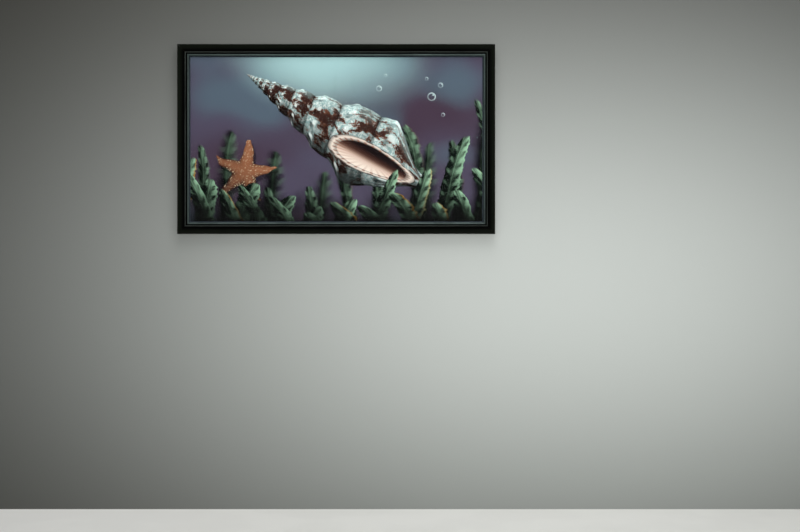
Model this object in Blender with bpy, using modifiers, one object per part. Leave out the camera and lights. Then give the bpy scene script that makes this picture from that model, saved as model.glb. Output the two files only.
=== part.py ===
"""A large framed picture that hangs close to a wall, at its real size in metres.

X runs along the picture, Y into the wall and Z up. The origin is the middle of the hanger
bar's wall face, where the wall holds the frame. Sections are drawn as (inward, forward):
inward from the frame's outer edge, and forward from the plane of the frame's back.
"""

import math

import bmesh
import bpy
from mathutils import Matrix, Vector

# The picture that shows, and the border of mouldings and mount round it
PICTURE_WIDTH = 1.280
PICTURE_HEIGHT = 0.720
BORDER = 0.055
FRAME_WIDTH = PICTURE_WIDTH + 2 * BORDER
FRAME_HEIGHT = PICTURE_HEIGHT + 2 * BORDER

# The gap that touching pieces keep, and the distance that closes a seam
GAP = 0.0003
WELD = 0.00001

# Main moulding, from its outer edge inwards: band, quirk, bead, groove, sight edge
MOULDING_DEPTH = 0.035
BACK_CHAMFER = 0.001
OUTER_ROUND = 0.0032
OUTER_ROUND_STEPS = 8
BAND_END = 0.0306
BAND_FALL = 0.0016
BAND_HOLLOW = 0.0005
BAND_STEPS = 8
QUIRK_WIDTH = 0.0009
QUIRK_DEPTH = 0.0011
BEAD_RADIUS = 0.0026
BEAD_CENTRE = (0.0342, 0.0314)
BEAD_START = 160
BEAD_STEPS = 14
GROOVE_FLOOR = 0.027
GROOVE_ROUND = 0.0025
GROOVE_STEPS = 6
SIGHT_EDGE = 0.042
SIGHT_ROUND = 0.0004
SIGHT_STEPS = 3
REBATE_EDGE = 0.033
REBATE_CEILING = 0.023

# Slip, the narrow beaded moulding inside the main one
SLIP_OUTER = REBATE_EDGE + 0.0005
SLIP_BACK = 0.0198
SLIP_FLANGE_TOP = REBATE_CEILING - GAP
SLIP_BEAD_OUTER = SIGHT_EDGE + GAP
SLIP_BEAD_RADIUS = 0.00335
SLIP_BEAD_LEVEL = 0.026
SLIP_BEAD_STEPS = 18
SLIP_FOOT = 0.0226
SLIP_TOE = 0.022
SLIP_SIGHT = 0.050

# What lies in the rebate, from front to back
PACKAGE_EDGE = 0.034
PACKAGE_WIDTH = FRAME_WIDTH - 2 * PACKAGE_EDGE
PACKAGE_HEIGHT = FRAME_HEIGHT - 2 * PACKAGE_EDGE
MOUNT_THICKNESS = 0.0015
LAYERS = {
    "glazing": 0.002,
    "window_mount": MOUNT_THICKNESS,
    "print": 0.0005,
    "foam_board": 0.005,
    "backing_board": 0.003,
}
BOARD_BEVEL = 0.0002

# Hanger bar on the back of the top rail
BAR_LENGTH = 0.500
BAR_GAUGE = 0.002
BAR_TOP = 0.004
BAR_JOG_TOP = 0.0185
BAR_JOG_BOTTOM = 0.0209
BAR_TIP = 0.032
BAR_SCREWS = 6
BAR_SCREW_END = 0.030
BAR_SCREW_LINE = 0.0105
WALL_GAP = 0.0065
HANG_LINE = 0.026

# Offset clips that hold the backing board, and where they stand along each side
CLIP_WIDTH = 0.014
CLIP_GAUGE = 0.0012
CLIP_HEEL = 0.017
CLIP_TOE = 0.050
CLIP_JOG = REBATE_EDGE + 0.0006
CLIP_SCREW_LINE = 0.0245
CLIPS = {
    "bottom": (-0.475, -0.16, 0.16, 0.475),
    "left": (-0.235, 0.0, 0.235),
    "top": (-0.475, 0.475),
    "right": (-0.235, 0.0, 0.235),
}

# Wood screws, and the holes that they pass
HEAD_RADIUS = 0.0032
HEAD_SIDE = 0.0010
HEAD_DOME = 0.0009
DOME_STEPS = 4
RECESS_WIDTH = 0.0009
RECESS_LENGTH = 0.0038
RECESS_DEPTH = 0.0011
RECESS_BEVEL = 0.00005
SHANK_RADIUS = 0.0015
SHANK_LENGTH = 0.011
TIP_LENGTH = 0.003
PLATE_HOLE = 0.0020
PILOT_RADIUS = 0.0019
PILOT_DEPTH = 0.0125
SCREW_STEPS = 20
PILOT_STEPS = 12

# Soft bumpers at the bottom corners, as high as the bar stands off the rail
BUMPER_HEIGHT = WALL_GAP - GAP
BUMPER_RADIUS = 0.006
BUMPER_TIP_RADIUS = 0.0045
BUMPER_SIDE = 0.0016
BUMPER_BREAK = 0.0005
BUMPER_STEPS = 32
BUMPER_END = 0.030
BUMPER_LINE = 0.0165

# Where the frame lies about the point that the wall holds
CENTRE_Z = HANG_LINE - FRAME_HEIGHT / 2
BACK_Y = -WALL_GAP

# Each side's turn about Y from the bottom, then the frame's size along it and across it
SIDES = {
    "bottom": (0, FRAME_WIDTH, FRAME_HEIGHT),
    "left": (90, FRAME_HEIGHT, FRAME_WIDTH),
    "top": (180, FRAME_WIDTH, FRAME_HEIGHT),
    "right": (270, FRAME_HEIGHT, FRAME_WIDTH),
}

# Turns a section drawn out along Z so that inward is a side's Z and forward its -Y
SECTION_TURN = (180, -90, 0)
# Turns +Z to face the wall, and to face the room
TO_WALL = (-90, 0, 0)
TO_ROOM = (90, 0, 0)

# Edges sharper than this stay sharp in smooth shading
SHARP_ANGLE = math.radians(30)

# Colour, roughness and metallic value of each finish
FINISHES = {
    "black_lacquer": ((0.006, 0.007, 0.006), 0.35, 0.0),
    "pewter_leaf": ((0.16, 0.18, 0.17), 0.42, 0.7),
    "clear_acrylic": ((0.9, 0.95, 0.95), 0.08, 0.0),
    "charcoal_board": ((0.02, 0.022, 0.026), 0.9, 0.0),
    "printed_paper": ((0.16, 0.17, 0.18), 0.45, 0.0),
    "foam_board": ((0.82, 0.82, 0.80), 0.7, 0.0),
    "hardboard": ((0.24, 0.13, 0.06), 0.75, 0.0),
    "anodised_bar": ((0.62, 0.63, 0.64), 0.4, 1.0),
    "zinc_clip": ((0.55, 0.55, 0.53), 0.38, 1.0),
    "brass_screw": ((0.62, 0.45, 0.19), 0.35, 1.0),
    "grey_rubber": ((0.10, 0.10, 0.10), 0.8, 0.0),
}


def finish(name):
    """The material of a finish, made the first time it is asked for."""
    found = bpy.data.materials.get(name)
    if found:
        return found
    colour, roughness, metallic = FINISHES[name]
    made = bpy.data.materials.new(name)
    made.use_nodes = True
    shader = made.node_tree.nodes["Principled BSDF"]
    shader.inputs["Base Color"].default_value = (*colour, 1.0)
    shader.inputs["Roughness"].default_value = roughness
    shader.inputs["Metallic"].default_value = metallic
    return made


def collection_named(name, hidden=False):
    """A collection in the scene; a hidden one holds cutters and isn't rendered."""
    made = bpy.data.collections.new(name)
    bpy.context.scene.collection.children.link(made)
    made.hide_render = hidden
    return made


def placed(name, mesh, group, parent=None, location=(0, 0, 0), turn=(0, 0, 0), look=None):
    """An object for a mesh, in its collection, under its parent, with its finish."""
    if look and not mesh.materials:
        mesh.materials.append(finish(look))
        mesh.shade_smooth()
        mesh.set_sharp_from_angle(angle=SHARP_ANGLE)
    obj = bpy.data.objects.new(name, mesh)
    group.objects.link(obj)
    obj.parent = parent
    obj.location = location
    obj.rotation_euler = [math.radians(angle) for angle in turn]
    return obj


def cutter(name, mesh, group, parent=None, location=(0, 0, 0), turn=(0, 0, 0)):
    """A cutter, which shows as a wire and isn't rendered."""
    obj = placed(name, mesh, group, parent, location, turn)
    obj.display_type = "WIRE"
    obj.hide_render = True


def cut_by(obj, cutters):
    """Cuts the object by every mesh in a collection."""
    cut = obj.modifiers.new("holes", "BOOLEAN")
    cut.operation = "DIFFERENCE"
    cut.solver = "EXACT"
    cut.operand_type = "COLLECTION"
    cut.collection = cutters


def blank(name, mesh):
    """A plain object for a mesh that modifiers go on to shape."""
    obj = bpy.data.objects.new(name, mesh)
    bpy.context.scene.collection.objects.link(obj)
    return obj


def mesh_of(obj):
    """A plain mesh of the object as its modifiers leave it; the object goes."""
    bpy.context.view_layer.update()
    graph = bpy.context.evaluated_depsgraph_get()
    mesh = bpy.data.meshes.new_from_object(obj.evaluated_get(graph))
    bpy.data.objects.remove(obj)
    return mesh


def welded(mesh):
    """The mesh with its seams joined and its faces pointing out."""
    shape = bmesh.new()
    shape.from_mesh(mesh)
    bmesh.ops.remove_doubles(shape, verts=shape.verts, dist=WELD)
    bmesh.ops.recalc_face_normals(shape, faces=shape.faces)
    shape.to_mesh(mesh)
    shape.free()
    return mesh


def extruded(name, outlines, length):
    """A mesh of flat outlines drawn out along Z, half each way. Inner outlines are holes."""
    curve = bpy.data.curves.new(name, "CURVE")
    curve.dimensions = "2D"
    curve.fill_mode = "BOTH"
    curve.extrude = length / 2
    for outline in outlines:
        spline = curve.splines.new("POLY")
        spline.points.add(len(outline) - 1)
        for point, (x, y) in zip(spline.points, outline):
            point.co = (x, y, 0.0, 1.0)
        spline.use_cyclic_u = True
    return welded(mesh_of(blank(name, curve)))


def turned(name, profile, steps):
    """A mesh turned about Z from (radius, height) points that run from top to bottom."""
    shape = bmesh.new()
    corners = [shape.verts.new((radius, 0.0, height)) for radius, height in profile]
    for upper, lower in zip(corners, corners[1:]):
        shape.edges.new((upper, lower))
    mesh = bpy.data.meshes.new(name)
    shape.to_mesh(mesh)
    shape.free()
    obj = blank(name, mesh)
    turn = obj.modifiers.new("turn", "SCREW")
    turn.axis = "Z"
    turn.steps = turn.render_steps = steps
    turn.use_merge_vertices = True
    turn.merge_threshold = WELD
    return welded(mesh_of(obj))


def box(name, width, depth, height, bevel):
    """A box about the origin with its edges just broken."""
    shape = bmesh.new()
    bmesh.ops.create_cube(shape, size=1.0, matrix=Matrix.Diagonal((width, depth, height, 1.0)))
    mesh = bpy.data.meshes.new(name)
    shape.to_mesh(mesh)
    shape.free()
    obj = blank(name, mesh)
    edge = obj.modifiers.new("broken_edges", "BEVEL")
    edge.width = bevel
    edge.segments = 1
    return mesh_of(obj)


def cylinder(name, radius, length, steps):
    """A cylinder about the origin, along Z."""
    shape = bmesh.new()
    bmesh.ops.create_cone(
        shape, cap_ends=True, segments=steps, radius1=radius, radius2=radius, depth=length
    )
    mesh = bpy.data.meshes.new(name)
    shape.to_mesh(mesh)
    shape.free()
    return mesh


def arc(centre, radius, start, end, steps):
    """Points along an arc between two angles in degrees."""
    angles = [math.radians(start + (end - start) * i / steps) for i in range(steps + 1)]
    return [
        (centre[0] + radius * math.cos(a), centre[1] + radius * math.sin(a)) for a in angles
    ]


def rectangle(width, height):
    """The corners of a rectangle about the origin."""
    x, y = width / 2, height / 2
    return [(-x, -y), (x, -y), (x, y), (-x, y)]


def moulding_outline():
    """Section of the main moulding: hollow band, quirk, bead, groove and rebate."""
    outline = [(BACK_CHAMFER, 0.0), (0.0, BACK_CHAMFER)]
    corner = (OUTER_ROUND, MOULDING_DEPTH - OUTER_ROUND)
    outline += arc(corner, OUTER_ROUND, 180, 90, OUTER_ROUND_STEPS)
    for i in range(1, BAND_STEPS + 1):
        t = i / BAND_STEPS
        fall = BAND_FALL * t + BAND_HOLLOW * math.sin(math.pi * t)
        outline.append((OUTER_ROUND + (BAND_END - OUTER_ROUND) * t, MOULDING_DEPTH - fall))
    quirk_floor = MOULDING_DEPTH - BAND_FALL - QUIRK_DEPTH
    outline.append((BAND_END + QUIRK_WIDTH / 2, quirk_floor))
    outline += arc(BEAD_CENTRE, BEAD_RADIUS, BEAD_START, 0, BEAD_STEPS)
    cove = (BEAD_CENTRE[0] + BEAD_RADIUS + GROOVE_ROUND, GROOVE_FLOOR + GROOVE_ROUND)
    outline += arc(cove, GROOVE_ROUND, 180, 270, GROOVE_STEPS)
    edge = (SIGHT_EDGE - SIGHT_ROUND, GROOVE_FLOOR - SIGHT_ROUND)
    outline += arc(edge, SIGHT_ROUND, 90, 0, SIGHT_STEPS)
    outline += [
        (SIGHT_EDGE, REBATE_CEILING),
        (REBATE_EDGE, REBATE_CEILING),
        (REBATE_EDGE, 0.0),
    ]
    return outline


def slip_outline():
    """Section of the slip: a flange under the moulding's lip and a bead beside its edge."""
    centre = (SLIP_BEAD_OUTER + SLIP_BEAD_RADIUS, SLIP_BEAD_LEVEL)
    return [
        (SLIP_OUTER, SLIP_BACK),
        (SLIP_OUTER, SLIP_FLANGE_TOP),
        (SLIP_BEAD_OUTER, SLIP_FLANGE_TOP),
        *arc(centre, SLIP_BEAD_RADIUS, 180, 0, SLIP_BEAD_STEPS),
        (centre[0] + SLIP_BEAD_RADIUS, SLIP_FOOT),
        (SLIP_SIGHT, SLIP_TOE),
        (SLIP_SIGHT, SLIP_BACK),
    ]


def bar_outline():
    """Section of the hanger bar: a flat for the screws, a jog and a lip at the wall."""
    flat = -GAP
    lip = -WALL_GAP
    slant = (BAR_JOG_BOTTOM - BAR_JOG_TOP) / 2
    return [
        (BAR_TOP, flat),
        (BAR_JOG_TOP, flat),
        (BAR_JOG_BOTTOM, lip + BAR_GAUGE),
        (BAR_TIP, lip + BAR_GAUGE),
        (BAR_TIP, lip),
        (BAR_JOG_BOTTOM - slant, lip),
        (BAR_JOG_TOP - slant, flat - BAR_GAUGE),
        (BAR_TOP, flat - BAR_GAUGE),
    ]


def clip_outline():
    """Section of an offset clip: a heel on the rail's back, a jog and a toe on the board."""
    heel = -GAP
    toe = layer_levels()["backing_board"][0] - GAP
    return [
        (CLIP_HEEL, heel),
        (CLIP_JOG, heel),
        (CLIP_JOG, toe),
        (CLIP_TOE, toe),
        (CLIP_TOE, toe - CLIP_GAUGE),
        (CLIP_JOG + CLIP_GAUGE, toe - CLIP_GAUGE),
        (CLIP_JOG + CLIP_GAUGE, heel - CLIP_GAUGE),
        (CLIP_HEEL, heel - CLIP_GAUGE),
    ]


def layer_levels():
    """The (back, front) level of each layer behind the slip."""
    levels = {}
    front = SLIP_BACK - GAP
    for name, thickness in LAYERS.items():
        levels[name] = (front - thickness, front)
        front -= thickness + GAP
    return levels


def mitred(name, outline, length):
    """A length of moulding whose ends slide back to 45 degree mitres, half a gap each."""
    mesh = extruded(name, [outline], length)
    for vertex in mesh.vertices:
        reach = length / 2 - vertex.co.x - GAP * math.sqrt(0.5)
        vertex.co.z = math.copysign(reach, vertex.co.z)
    return mesh


def window_mount_mesh(name):
    """A board with a window whose front edge slides back to a 45 degree bevel."""
    outer = rectangle(PACKAGE_WIDTH, PACKAGE_HEIGHT)
    window = rectangle(PICTURE_WIDTH, PICTURE_HEIGHT)
    mesh = extruded(name, [outer, window], MOUNT_THICKNESS)
    between = (PICTURE_WIDTH + PACKAGE_WIDTH) / 4
    for vertex in mesh.vertices:
        if abs(vertex.co.x) < between and vertex.co.z > 0:
            vertex.co.x += math.copysign(MOUNT_THICKNESS, vertex.co.x)
            vertex.co.y += math.copysign(MOUNT_THICKNESS, vertex.co.y)
    return mesh


def clip_mesh():
    """An offset clip, bent from strip, with its screw hole."""
    obj = blank("clip", extruded("clip", [clip_outline()], CLIP_WIDTH))
    cutters = collection_named("clip_hole", hidden=True)
    hole = cylinder("clip_hole", PLATE_HOLE, WALL_GAP, SCREW_STEPS)
    cutter("clip_hole", hole, cutters, location=(CLIP_SCREW_LINE, 0, 0), turn=TO_ROOM)
    cut_by(obj, cutters)
    return mesh_of(obj)


def screw_mesh():
    """A pan head wood screw about Z: head up, its underside at 0, with a cross recess."""
    profile = []
    for i in range(DOME_STEPS + 1):
        angle = math.pi / 2 * i / DOME_STEPS
        height = HEAD_SIDE + HEAD_DOME * math.cos(angle)
        profile.append((HEAD_RADIUS * math.sin(angle), height))
    profile += [
        (HEAD_RADIUS, 0.0),
        (SHANK_RADIUS, 0.0),
        (SHANK_RADIUS, TIP_LENGTH - SHANK_LENGTH),
        (0.0, -SHANK_LENGTH),
    ]
    obj = blank("screw", turned("screw", profile, SCREW_STEPS))
    cutters = collection_named("screw_recess", hidden=True)
    for i in range(2):
        slot = box(f"slot_{i}", RECESS_LENGTH, RECESS_WIDTH, 2 * RECESS_DEPTH, RECESS_BEVEL)
        top = (0, 0, HEAD_SIDE + HEAD_DOME)
        cutter(f"slot_{i}", slot, cutters, location=top, turn=(0, 0, 90 * i))
    cut_by(obj, cutters)
    return mesh_of(obj)


def side_empty(group, side):
    """An empty in the middle of a side's outer edge, turned so that its Z points inwards."""
    turn, _, across = SIDES[side]
    empty = bpy.data.objects.new(f"side_{side}", None)
    group.objects.link(empty)
    empty.rotation_euler.y = math.radians(turn)
    inward = Vector((0, 0, 1))
    inward.rotate(empty.rotation_euler)
    empty.location = Vector((0, BACK_Y, CENTRE_Z)) - inward * across / 2
    return empty


def bar_screw_spots():
    """Where the bar's screws stand, as (along, inward)."""
    first = -BAR_LENGTH / 2 + BAR_SCREW_END
    step = -2 * first / (BAR_SCREWS - 1)
    return [(first + step * i, BAR_SCREW_LINE) for i in range(BAR_SCREWS)]


def clip_screw_spots(side):
    """Where a side's clip screws stand, as (along, inward)."""
    return [(along, CLIP_SCREW_LINE) for along in CLIPS[side]]


def hole_cutters(kind, empty, radius, depth, steps, spots):
    """A hidden collection of round cutters through a side's back, as deep each way."""
    cutters = collection_named(kind, hidden=True)
    for i, (along, inward) in enumerate(spots, start=1):
        name = f"{kind}_{i}"
        hole = cylinder(name, radius, 2 * depth, steps)
        cutter(name, hole, cutters, empty, (along, 0, inward), TO_WALL)
    return cutters


def make_mouldings(group, empties):
    """The four lengths of main moulding, with pilot holes, and the four of slip."""
    for side, empty in empties.items():
        length = SIDES[side][1]
        kind = "rail" if side in ("top", "bottom") else "stile"
        name = f"{kind}_{side}"
        mesh = mitred(name, moulding_outline(), length)
        rail = placed(name, mesh, group, empty, turn=SECTION_TURN, look="black_lacquer")
        spots = clip_screw_spots(side)
        if side == "top":
            spots += bar_screw_spots()
        pilots = hole_cutters(
            f"pilot_{side}", empty, PILOT_RADIUS, PILOT_DEPTH, PILOT_STEPS, spots
        )
        cut_by(rail, pilots)
        name = f"slip_{side}"
        mesh = mitred(name, slip_outline(), length)
        placed(name, mesh, group, empty, turn=SECTION_TURN, look="pewter_leaf")


def make_layers(group):
    """Glazing, window mount, print, foam board and backing board."""
    looks = {
        "glazing": "clear_acrylic",
        "print": "printed_paper",
        "foam_board": "foam_board",
        "backing_board": "hardboard",
    }
    for name, (back, front) in layer_levels().items():
        middle = (0, BACK_Y - (back + front) / 2, CENTRE_Z)
        if name == "window_mount":
            mesh = window_mount_mesh(name)
            placed(name, mesh, group, None, middle, TO_ROOM, "charcoal_board")
        else:
            mesh = box(name, PACKAGE_WIDTH, front - back, PACKAGE_HEIGHT, BOARD_BEVEL)
            placed(name, mesh, group, None, middle, look=looks[name])


def make_screws(group, empty, screw, stem, spots, seat):
    """Screws at those spots of a side, with their heads just off a plate's face at seat."""
    for i, (along, inward) in enumerate(spots, start=1):
        place = (along, GAP - seat, inward)
        placed(f"{stem}_{i}", screw, group, empty, place, TO_WALL, "brass_screw")


def make_clips(group, empties, screw):
    """Offset clips round the back, each with its screw."""
    clip = clip_mesh()
    for side, empty in empties.items():
        for i, along in enumerate(CLIPS[side], start=1):
            name = f"clip_{side}_{i}"
            placed(name, clip, group, empty, (along, 0, 0), SECTION_TURN, "zinc_clip")
        stem = f"clip_screw_{side}"
        make_screws(group, empty, screw, stem, clip_screw_spots(side), -GAP - CLIP_GAUGE)


def make_hanger_bar(group, empty, screw):
    """The bar across the top rail's back, with the screws that hold it."""
    mesh = extruded("hanger_bar", [bar_outline()], BAR_LENGTH)
    bar = placed("hanger_bar", mesh, group, empty, turn=SECTION_TURN, look="anodised_bar")
    spots = bar_screw_spots()
    cut_by(bar, hole_cutters("bar_hole", empty, PLATE_HOLE, WALL_GAP, SCREW_STEPS, spots))
    make_screws(group, empty, screw, "bar_screw", spots, -GAP - BAR_GAUGE)


def make_bumpers(group, empty):
    """Soft bumpers that keep the bottom rail as far off the wall as the bar does."""
    profile = [
        (0.0, BUMPER_HEIGHT),
        (BUMPER_TIP_RADIUS - BUMPER_BREAK, BUMPER_HEIGHT),
        (BUMPER_TIP_RADIUS, BUMPER_HEIGHT - BUMPER_BREAK),
        (BUMPER_RADIUS, BUMPER_SIDE),
        (BUMPER_RADIUS, 0.0),
        (0.0, 0.0),
    ]
    mesh = turned("bumper", profile, BUMPER_STEPS)
    reach = FRAME_WIDTH / 2 - BUMPER_END
    for name, along in (("bumper_left", -reach), ("bumper_right", reach)):
        placed(name, mesh, group, empty, (along, GAP, BUMPER_LINE), TO_WALL, "grey_rubber")


def main():
    for obj in list(bpy.data.objects):
        bpy.data.objects.remove(obj)
    group = collection_named("framed_picture")
    empties = {side: side_empty(group, side) for side in SIDES}
    make_mouldings(group, empties)
    make_layers(group)
    screw = screw_mesh()
    make_clips(group, empties, screw)
    make_hanger_bar(group, empties["top"], screw)
    make_bumpers(group, empties["bottom"])


main()
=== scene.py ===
"""Looks of a large framed picture that hangs on a wall.

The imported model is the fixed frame. Every finish reads Object coordinates in metres, where X
runs along the picture, Y into the wall and Z up, with the origin at the hanger bar's wall face.
"""

import logging
import math
from dataclasses import dataclass
from enum import Enum, auto
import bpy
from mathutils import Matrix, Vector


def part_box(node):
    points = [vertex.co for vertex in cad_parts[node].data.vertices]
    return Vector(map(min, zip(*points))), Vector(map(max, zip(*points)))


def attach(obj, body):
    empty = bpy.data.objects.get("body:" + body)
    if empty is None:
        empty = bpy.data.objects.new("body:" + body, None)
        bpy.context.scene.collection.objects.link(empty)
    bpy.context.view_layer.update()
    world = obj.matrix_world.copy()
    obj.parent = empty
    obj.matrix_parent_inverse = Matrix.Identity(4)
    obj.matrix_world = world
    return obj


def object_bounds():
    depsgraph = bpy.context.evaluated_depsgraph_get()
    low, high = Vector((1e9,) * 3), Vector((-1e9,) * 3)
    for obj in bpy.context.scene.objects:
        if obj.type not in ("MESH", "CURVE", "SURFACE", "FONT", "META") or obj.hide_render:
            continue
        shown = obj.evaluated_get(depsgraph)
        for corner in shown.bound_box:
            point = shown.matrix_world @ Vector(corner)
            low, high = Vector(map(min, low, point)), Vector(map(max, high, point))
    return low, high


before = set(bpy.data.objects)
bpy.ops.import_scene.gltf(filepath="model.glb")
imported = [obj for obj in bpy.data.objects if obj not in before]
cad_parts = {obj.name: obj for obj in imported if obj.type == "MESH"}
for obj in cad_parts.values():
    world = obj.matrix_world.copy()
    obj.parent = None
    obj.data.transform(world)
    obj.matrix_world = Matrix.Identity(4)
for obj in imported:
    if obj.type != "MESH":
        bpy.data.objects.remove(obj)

from types import SimpleNamespace
from typing import Callable, ClassVar, Iterable

import bpy
from mathutils import Vector

log = logging.getLogger("framed_picture")

Colour = tuple[float, float, float]
Point = tuple[float, float, float]
Span = tuple[float, float]
Names = tuple[str, ...]

# Signals held by name, as a node group's inputs and outputs are
Bundle = SimpleNamespace

CAD_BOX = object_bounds()

# The frame's own sizes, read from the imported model
FRAME_LOW, FRAME_HIGH = CAD_BOX
CENTRE_Z = (FRAME_LOW.z + FRAME_HIGH.z) / 2
HALF_WIDTH = (FRAME_HIGH.x - FRAME_LOW.x) / 2
HALF_HEIGHT = (FRAME_HIGH.z - FRAME_LOW.z) / 2
FRONT_Y, BACK_Y = (corner.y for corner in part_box("rail_top"))
BORDER = 0.055
PICTURE_HALF_HEIGHT = HALF_HEIGHT - BORDER
MM_A_METRE = 1000.0

# The kind of a group's socket by the last word of its name, where it isn't a plain number
SOCKET_KINDS = {
    "colour": "Color",
    "place": "Vector",
    "normal": "Vector",
    "grain": "Vector",
    "geometry": "Geometry",
}


class Maths(Enum):
    """Plain operations, by Blender's own names. Each is called with what it works on."""

    ADD = auto()
    SUBTRACT = auto()
    MULTIPLY = auto()
    DIVIDE = auto()
    POWER = auto()
    LOGARITHM = auto()
    SQRT = auto()
    ABSOLUTE = auto()
    MINIMUM = auto()
    MAXIMUM = auto()
    GREATER_THAN = auto()
    SIGN = auto()
    FLOOR = auto()
    FRACT = auto()
    SINE = auto()
    COSINE = auto()
    ARCSINE = auto()
    ARCTAN2 = auto()

    def __call__(self, *values: "Signal | float") -> "Signal":
        """The result of the operation on some values, of which one at least is a signal."""
        return node("ShaderNodeMath", dict(enumerate(values)), operation=self.name)


@dataclass(frozen=True)
class Signal:
    """A value, vector or colour inside a node tree, which sums and patterns go on from."""

    socket: bpy.types.NodeSocket

    def __add__(self, other: "Signal | float") -> "Signal":
        """This plus another value."""
        return Maths.ADD(self, other)

    def __sub__(self, other: "Signal | float") -> "Signal":
        """This less another value."""
        return Maths.SUBTRACT(self, other)

    def __rsub__(self, other: float) -> "Signal":
        """A number less this."""
        return Maths.SUBTRACT(other, self)

    def __mul__(self, other: "Signal | float") -> "Signal":
        """This times another value."""
        return Maths.MULTIPLY(self, other)

    def __truediv__(self, other: "Signal | float") -> "Signal":
        """This over another value."""
        return Maths.DIVIDE(self, other)

    def __abs__(self) -> "Signal":
        """This without its sign."""
        return Maths.ABSOLUTE(self)

    __radd__ = __add__
    __rmul__ = __mul__

    def root(self) -> "Signal":
        """The square root, with what is below zero taken as zero."""
        return Maths.SQRT(Maths.MAXIMUM(self, 0.0))

    def capped(self) -> "Signal":
        """This, but 1 at most."""
        return Maths.MINIMUM(self, 1.0)

    def swing(self, reach: float) -> "Signal":
        """A value about 0.5 made one about 0, and this many times as large."""
        return (self - 0.5) * reach

    def smooth(self, low: float, high: float) -> "Signal":
        """A soft step from 0 at low to 1 at high, or down where high is the lesser.

        Args:
            low: Where the result is 0.
            high: Where the result is 1.

        Returns:
            The step, from 0 to 1.
        """
        ends = (low, high, 0.0, 1.0) if low < high else (high, low, 1.0, 0.0)
        inputs = dict(zip(("From Min", "From Max", "To Min", "To Max"), ends), Value=self)
        return node("ShaderNodeMapRange", inputs, interpolation_type="SMOOTHSTEP")

    def beside(self, output: int | str) -> "Signal":
        """Another output of the same node."""
        return Signal(self.socket.node.outputs[output])

    def parts(self) -> "tuple[Signal, Signal, Signal]":
        """The three numbers of a vector."""
        return tuple(map(Signal, node("ShaderNodeSeparateXYZ", {0: self}).socket.node.outputs))

    def stretched(self, by: Point, shift: Point = (0.0, 0.0, 0.0)) -> "Signal":
        """A vector times a size along each axis, and then moved."""
        return node("ShaderNodeMapping", {"Vector": self, "Scale": by, "Location": shift})

    def noise(
        self, scale: float, detail: float = 2.0, rough: float = 0.5, warp: float = 0.0
    ) -> "Signal":
        """Soft random variation, read at this place.

        Args:
            scale: How many lumps there are to one unit.
            detail: How many finer layers are added.
            rough: How strong those layers are.
            warp: How far the pattern is pushed about.

        Returns:
            A value about 0.5.
        """
        inputs = {"Scale": scale, "Detail": detail, "Roughness": rough, "Distortion": warp}
        return node("ShaderNodeTexNoise", {"Vector": self, **inputs})

    def cells(self, scale: float, output: str = "Distance") -> "Signal":
        """A pattern of random cells, read as the distance to each cell's seed or its colour."""
        return node("ShaderNodeTexVoronoi", {"Vector": self, "Scale": scale}, output)

    def bump(self, depth: float, strength: float) -> "Signal":
        """A normal from this height, where 1 stands for a depth in metres."""
        inputs = {"Height": self, "Distance": depth, "Strength": strength}
        return node("ShaderNodeBump", inputs)

    def normal(self) -> "Signal":
        """The way that the surface faces, in this signal's tree."""
        return node("ShaderNodeNewGeometry", {}, "Normal", self.socket.id_data)

    def facing(self) -> "Signal":
        """How squarely the surface faces the wall, from 1 on a back to -1 on a front."""
        return self.normal().parts()[1]


def feed(socket: bpy.types.NodeSocket, value: object) -> None:
    """Links a signal to an input, or sets the input's own value.

    Args:
        socket: The input.
        value: A signal, a number, a tuple of three, or a material.
    """
    if isinstance(value, Signal):
        socket.id_data.links.new(value.socket, socket)
    elif socket.type == "RGBA":
        socket.default_value = (*value, 1.0)
    else:
        socket.default_value = value


def node(
    kind: str,
    inputs: dict[int | str, object],
    output: int | str = 0,
    tree: bpy.types.NodeTree | None = None,
    **settings: object,
) -> Signal:
    """Adds a node to the tree that its inputs come from.

    Args:
        kind: The node's Blender type.
        inputs: What feeds its inputs, by their numbers or names.
        output: The output that is wanted.
        tree: The tree, where no input is a signal.
        settings: Properties to set on the node.

    Returns:
        The output.
    """
    tree = tree or next(v.socket.id_data for v in inputs.values() if isinstance(v, Signal))
    made = tree.nodes.new(kind)
    for name, value in settings.items():
        setattr(made, name, value)
    for key, value in inputs.items():
        feed(made.inputs[key], value)
    return Signal(made.outputs[output])


def joined(x: Signal | float, y: Signal | float, z: Signal | float = 0.0) -> Signal:
    """A vector from three numbers."""
    return node("ShaderNodeCombineXYZ", {0: x, 1: y, 2: z})


def distance(x: Signal, y: Signal) -> Signal:
    """How far two lengths at right angles reach together."""
    return Maths.SQRT(x * x + y * y)


def scaled(vector: Signal | Point, amount: Signal | float) -> Signal:
    """A vector or colour times a number."""
    return node("ShaderNodeVectorMath", {0: vector, "Scale": amount}, operation="SCALE")


def added(first: Signal, second: Signal) -> Signal:
    """Two colours as light, one on top of the other."""
    return node("ShaderNodeVectorMath", {0: first, 1: second}, operation="ADD")


def blend(share: Signal, under: Signal | Colour, over: Signal | Colour) -> Signal:
    """Lays one colour over another.

    The colour inputs of a mix node stand after those for numbers and vectors.

    Args:
        share: How much of the upper one shows, from 0 to 1.
        under: The lower colour.
        over: The upper colour.

    Returns:
        The mixed colour.
    """
    return node("ShaderNodeMix", {0: share, 6: under, 7: over}, 2, data_type="RGBA")


def layered(base: Signal | Colour, *coats: tuple[Signal, Signal | Colour]) -> Signal:
    """Lays coats of colour over a base, one after another.

    Args:
        base: The lowest colour.
        coats: How much of each coat shows, from 0 to 1, and its colour.

    Returns:
        The colour on top.
    """
    for share, coat in coats:
        base = blend(share, base, coat)
    return base


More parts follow.
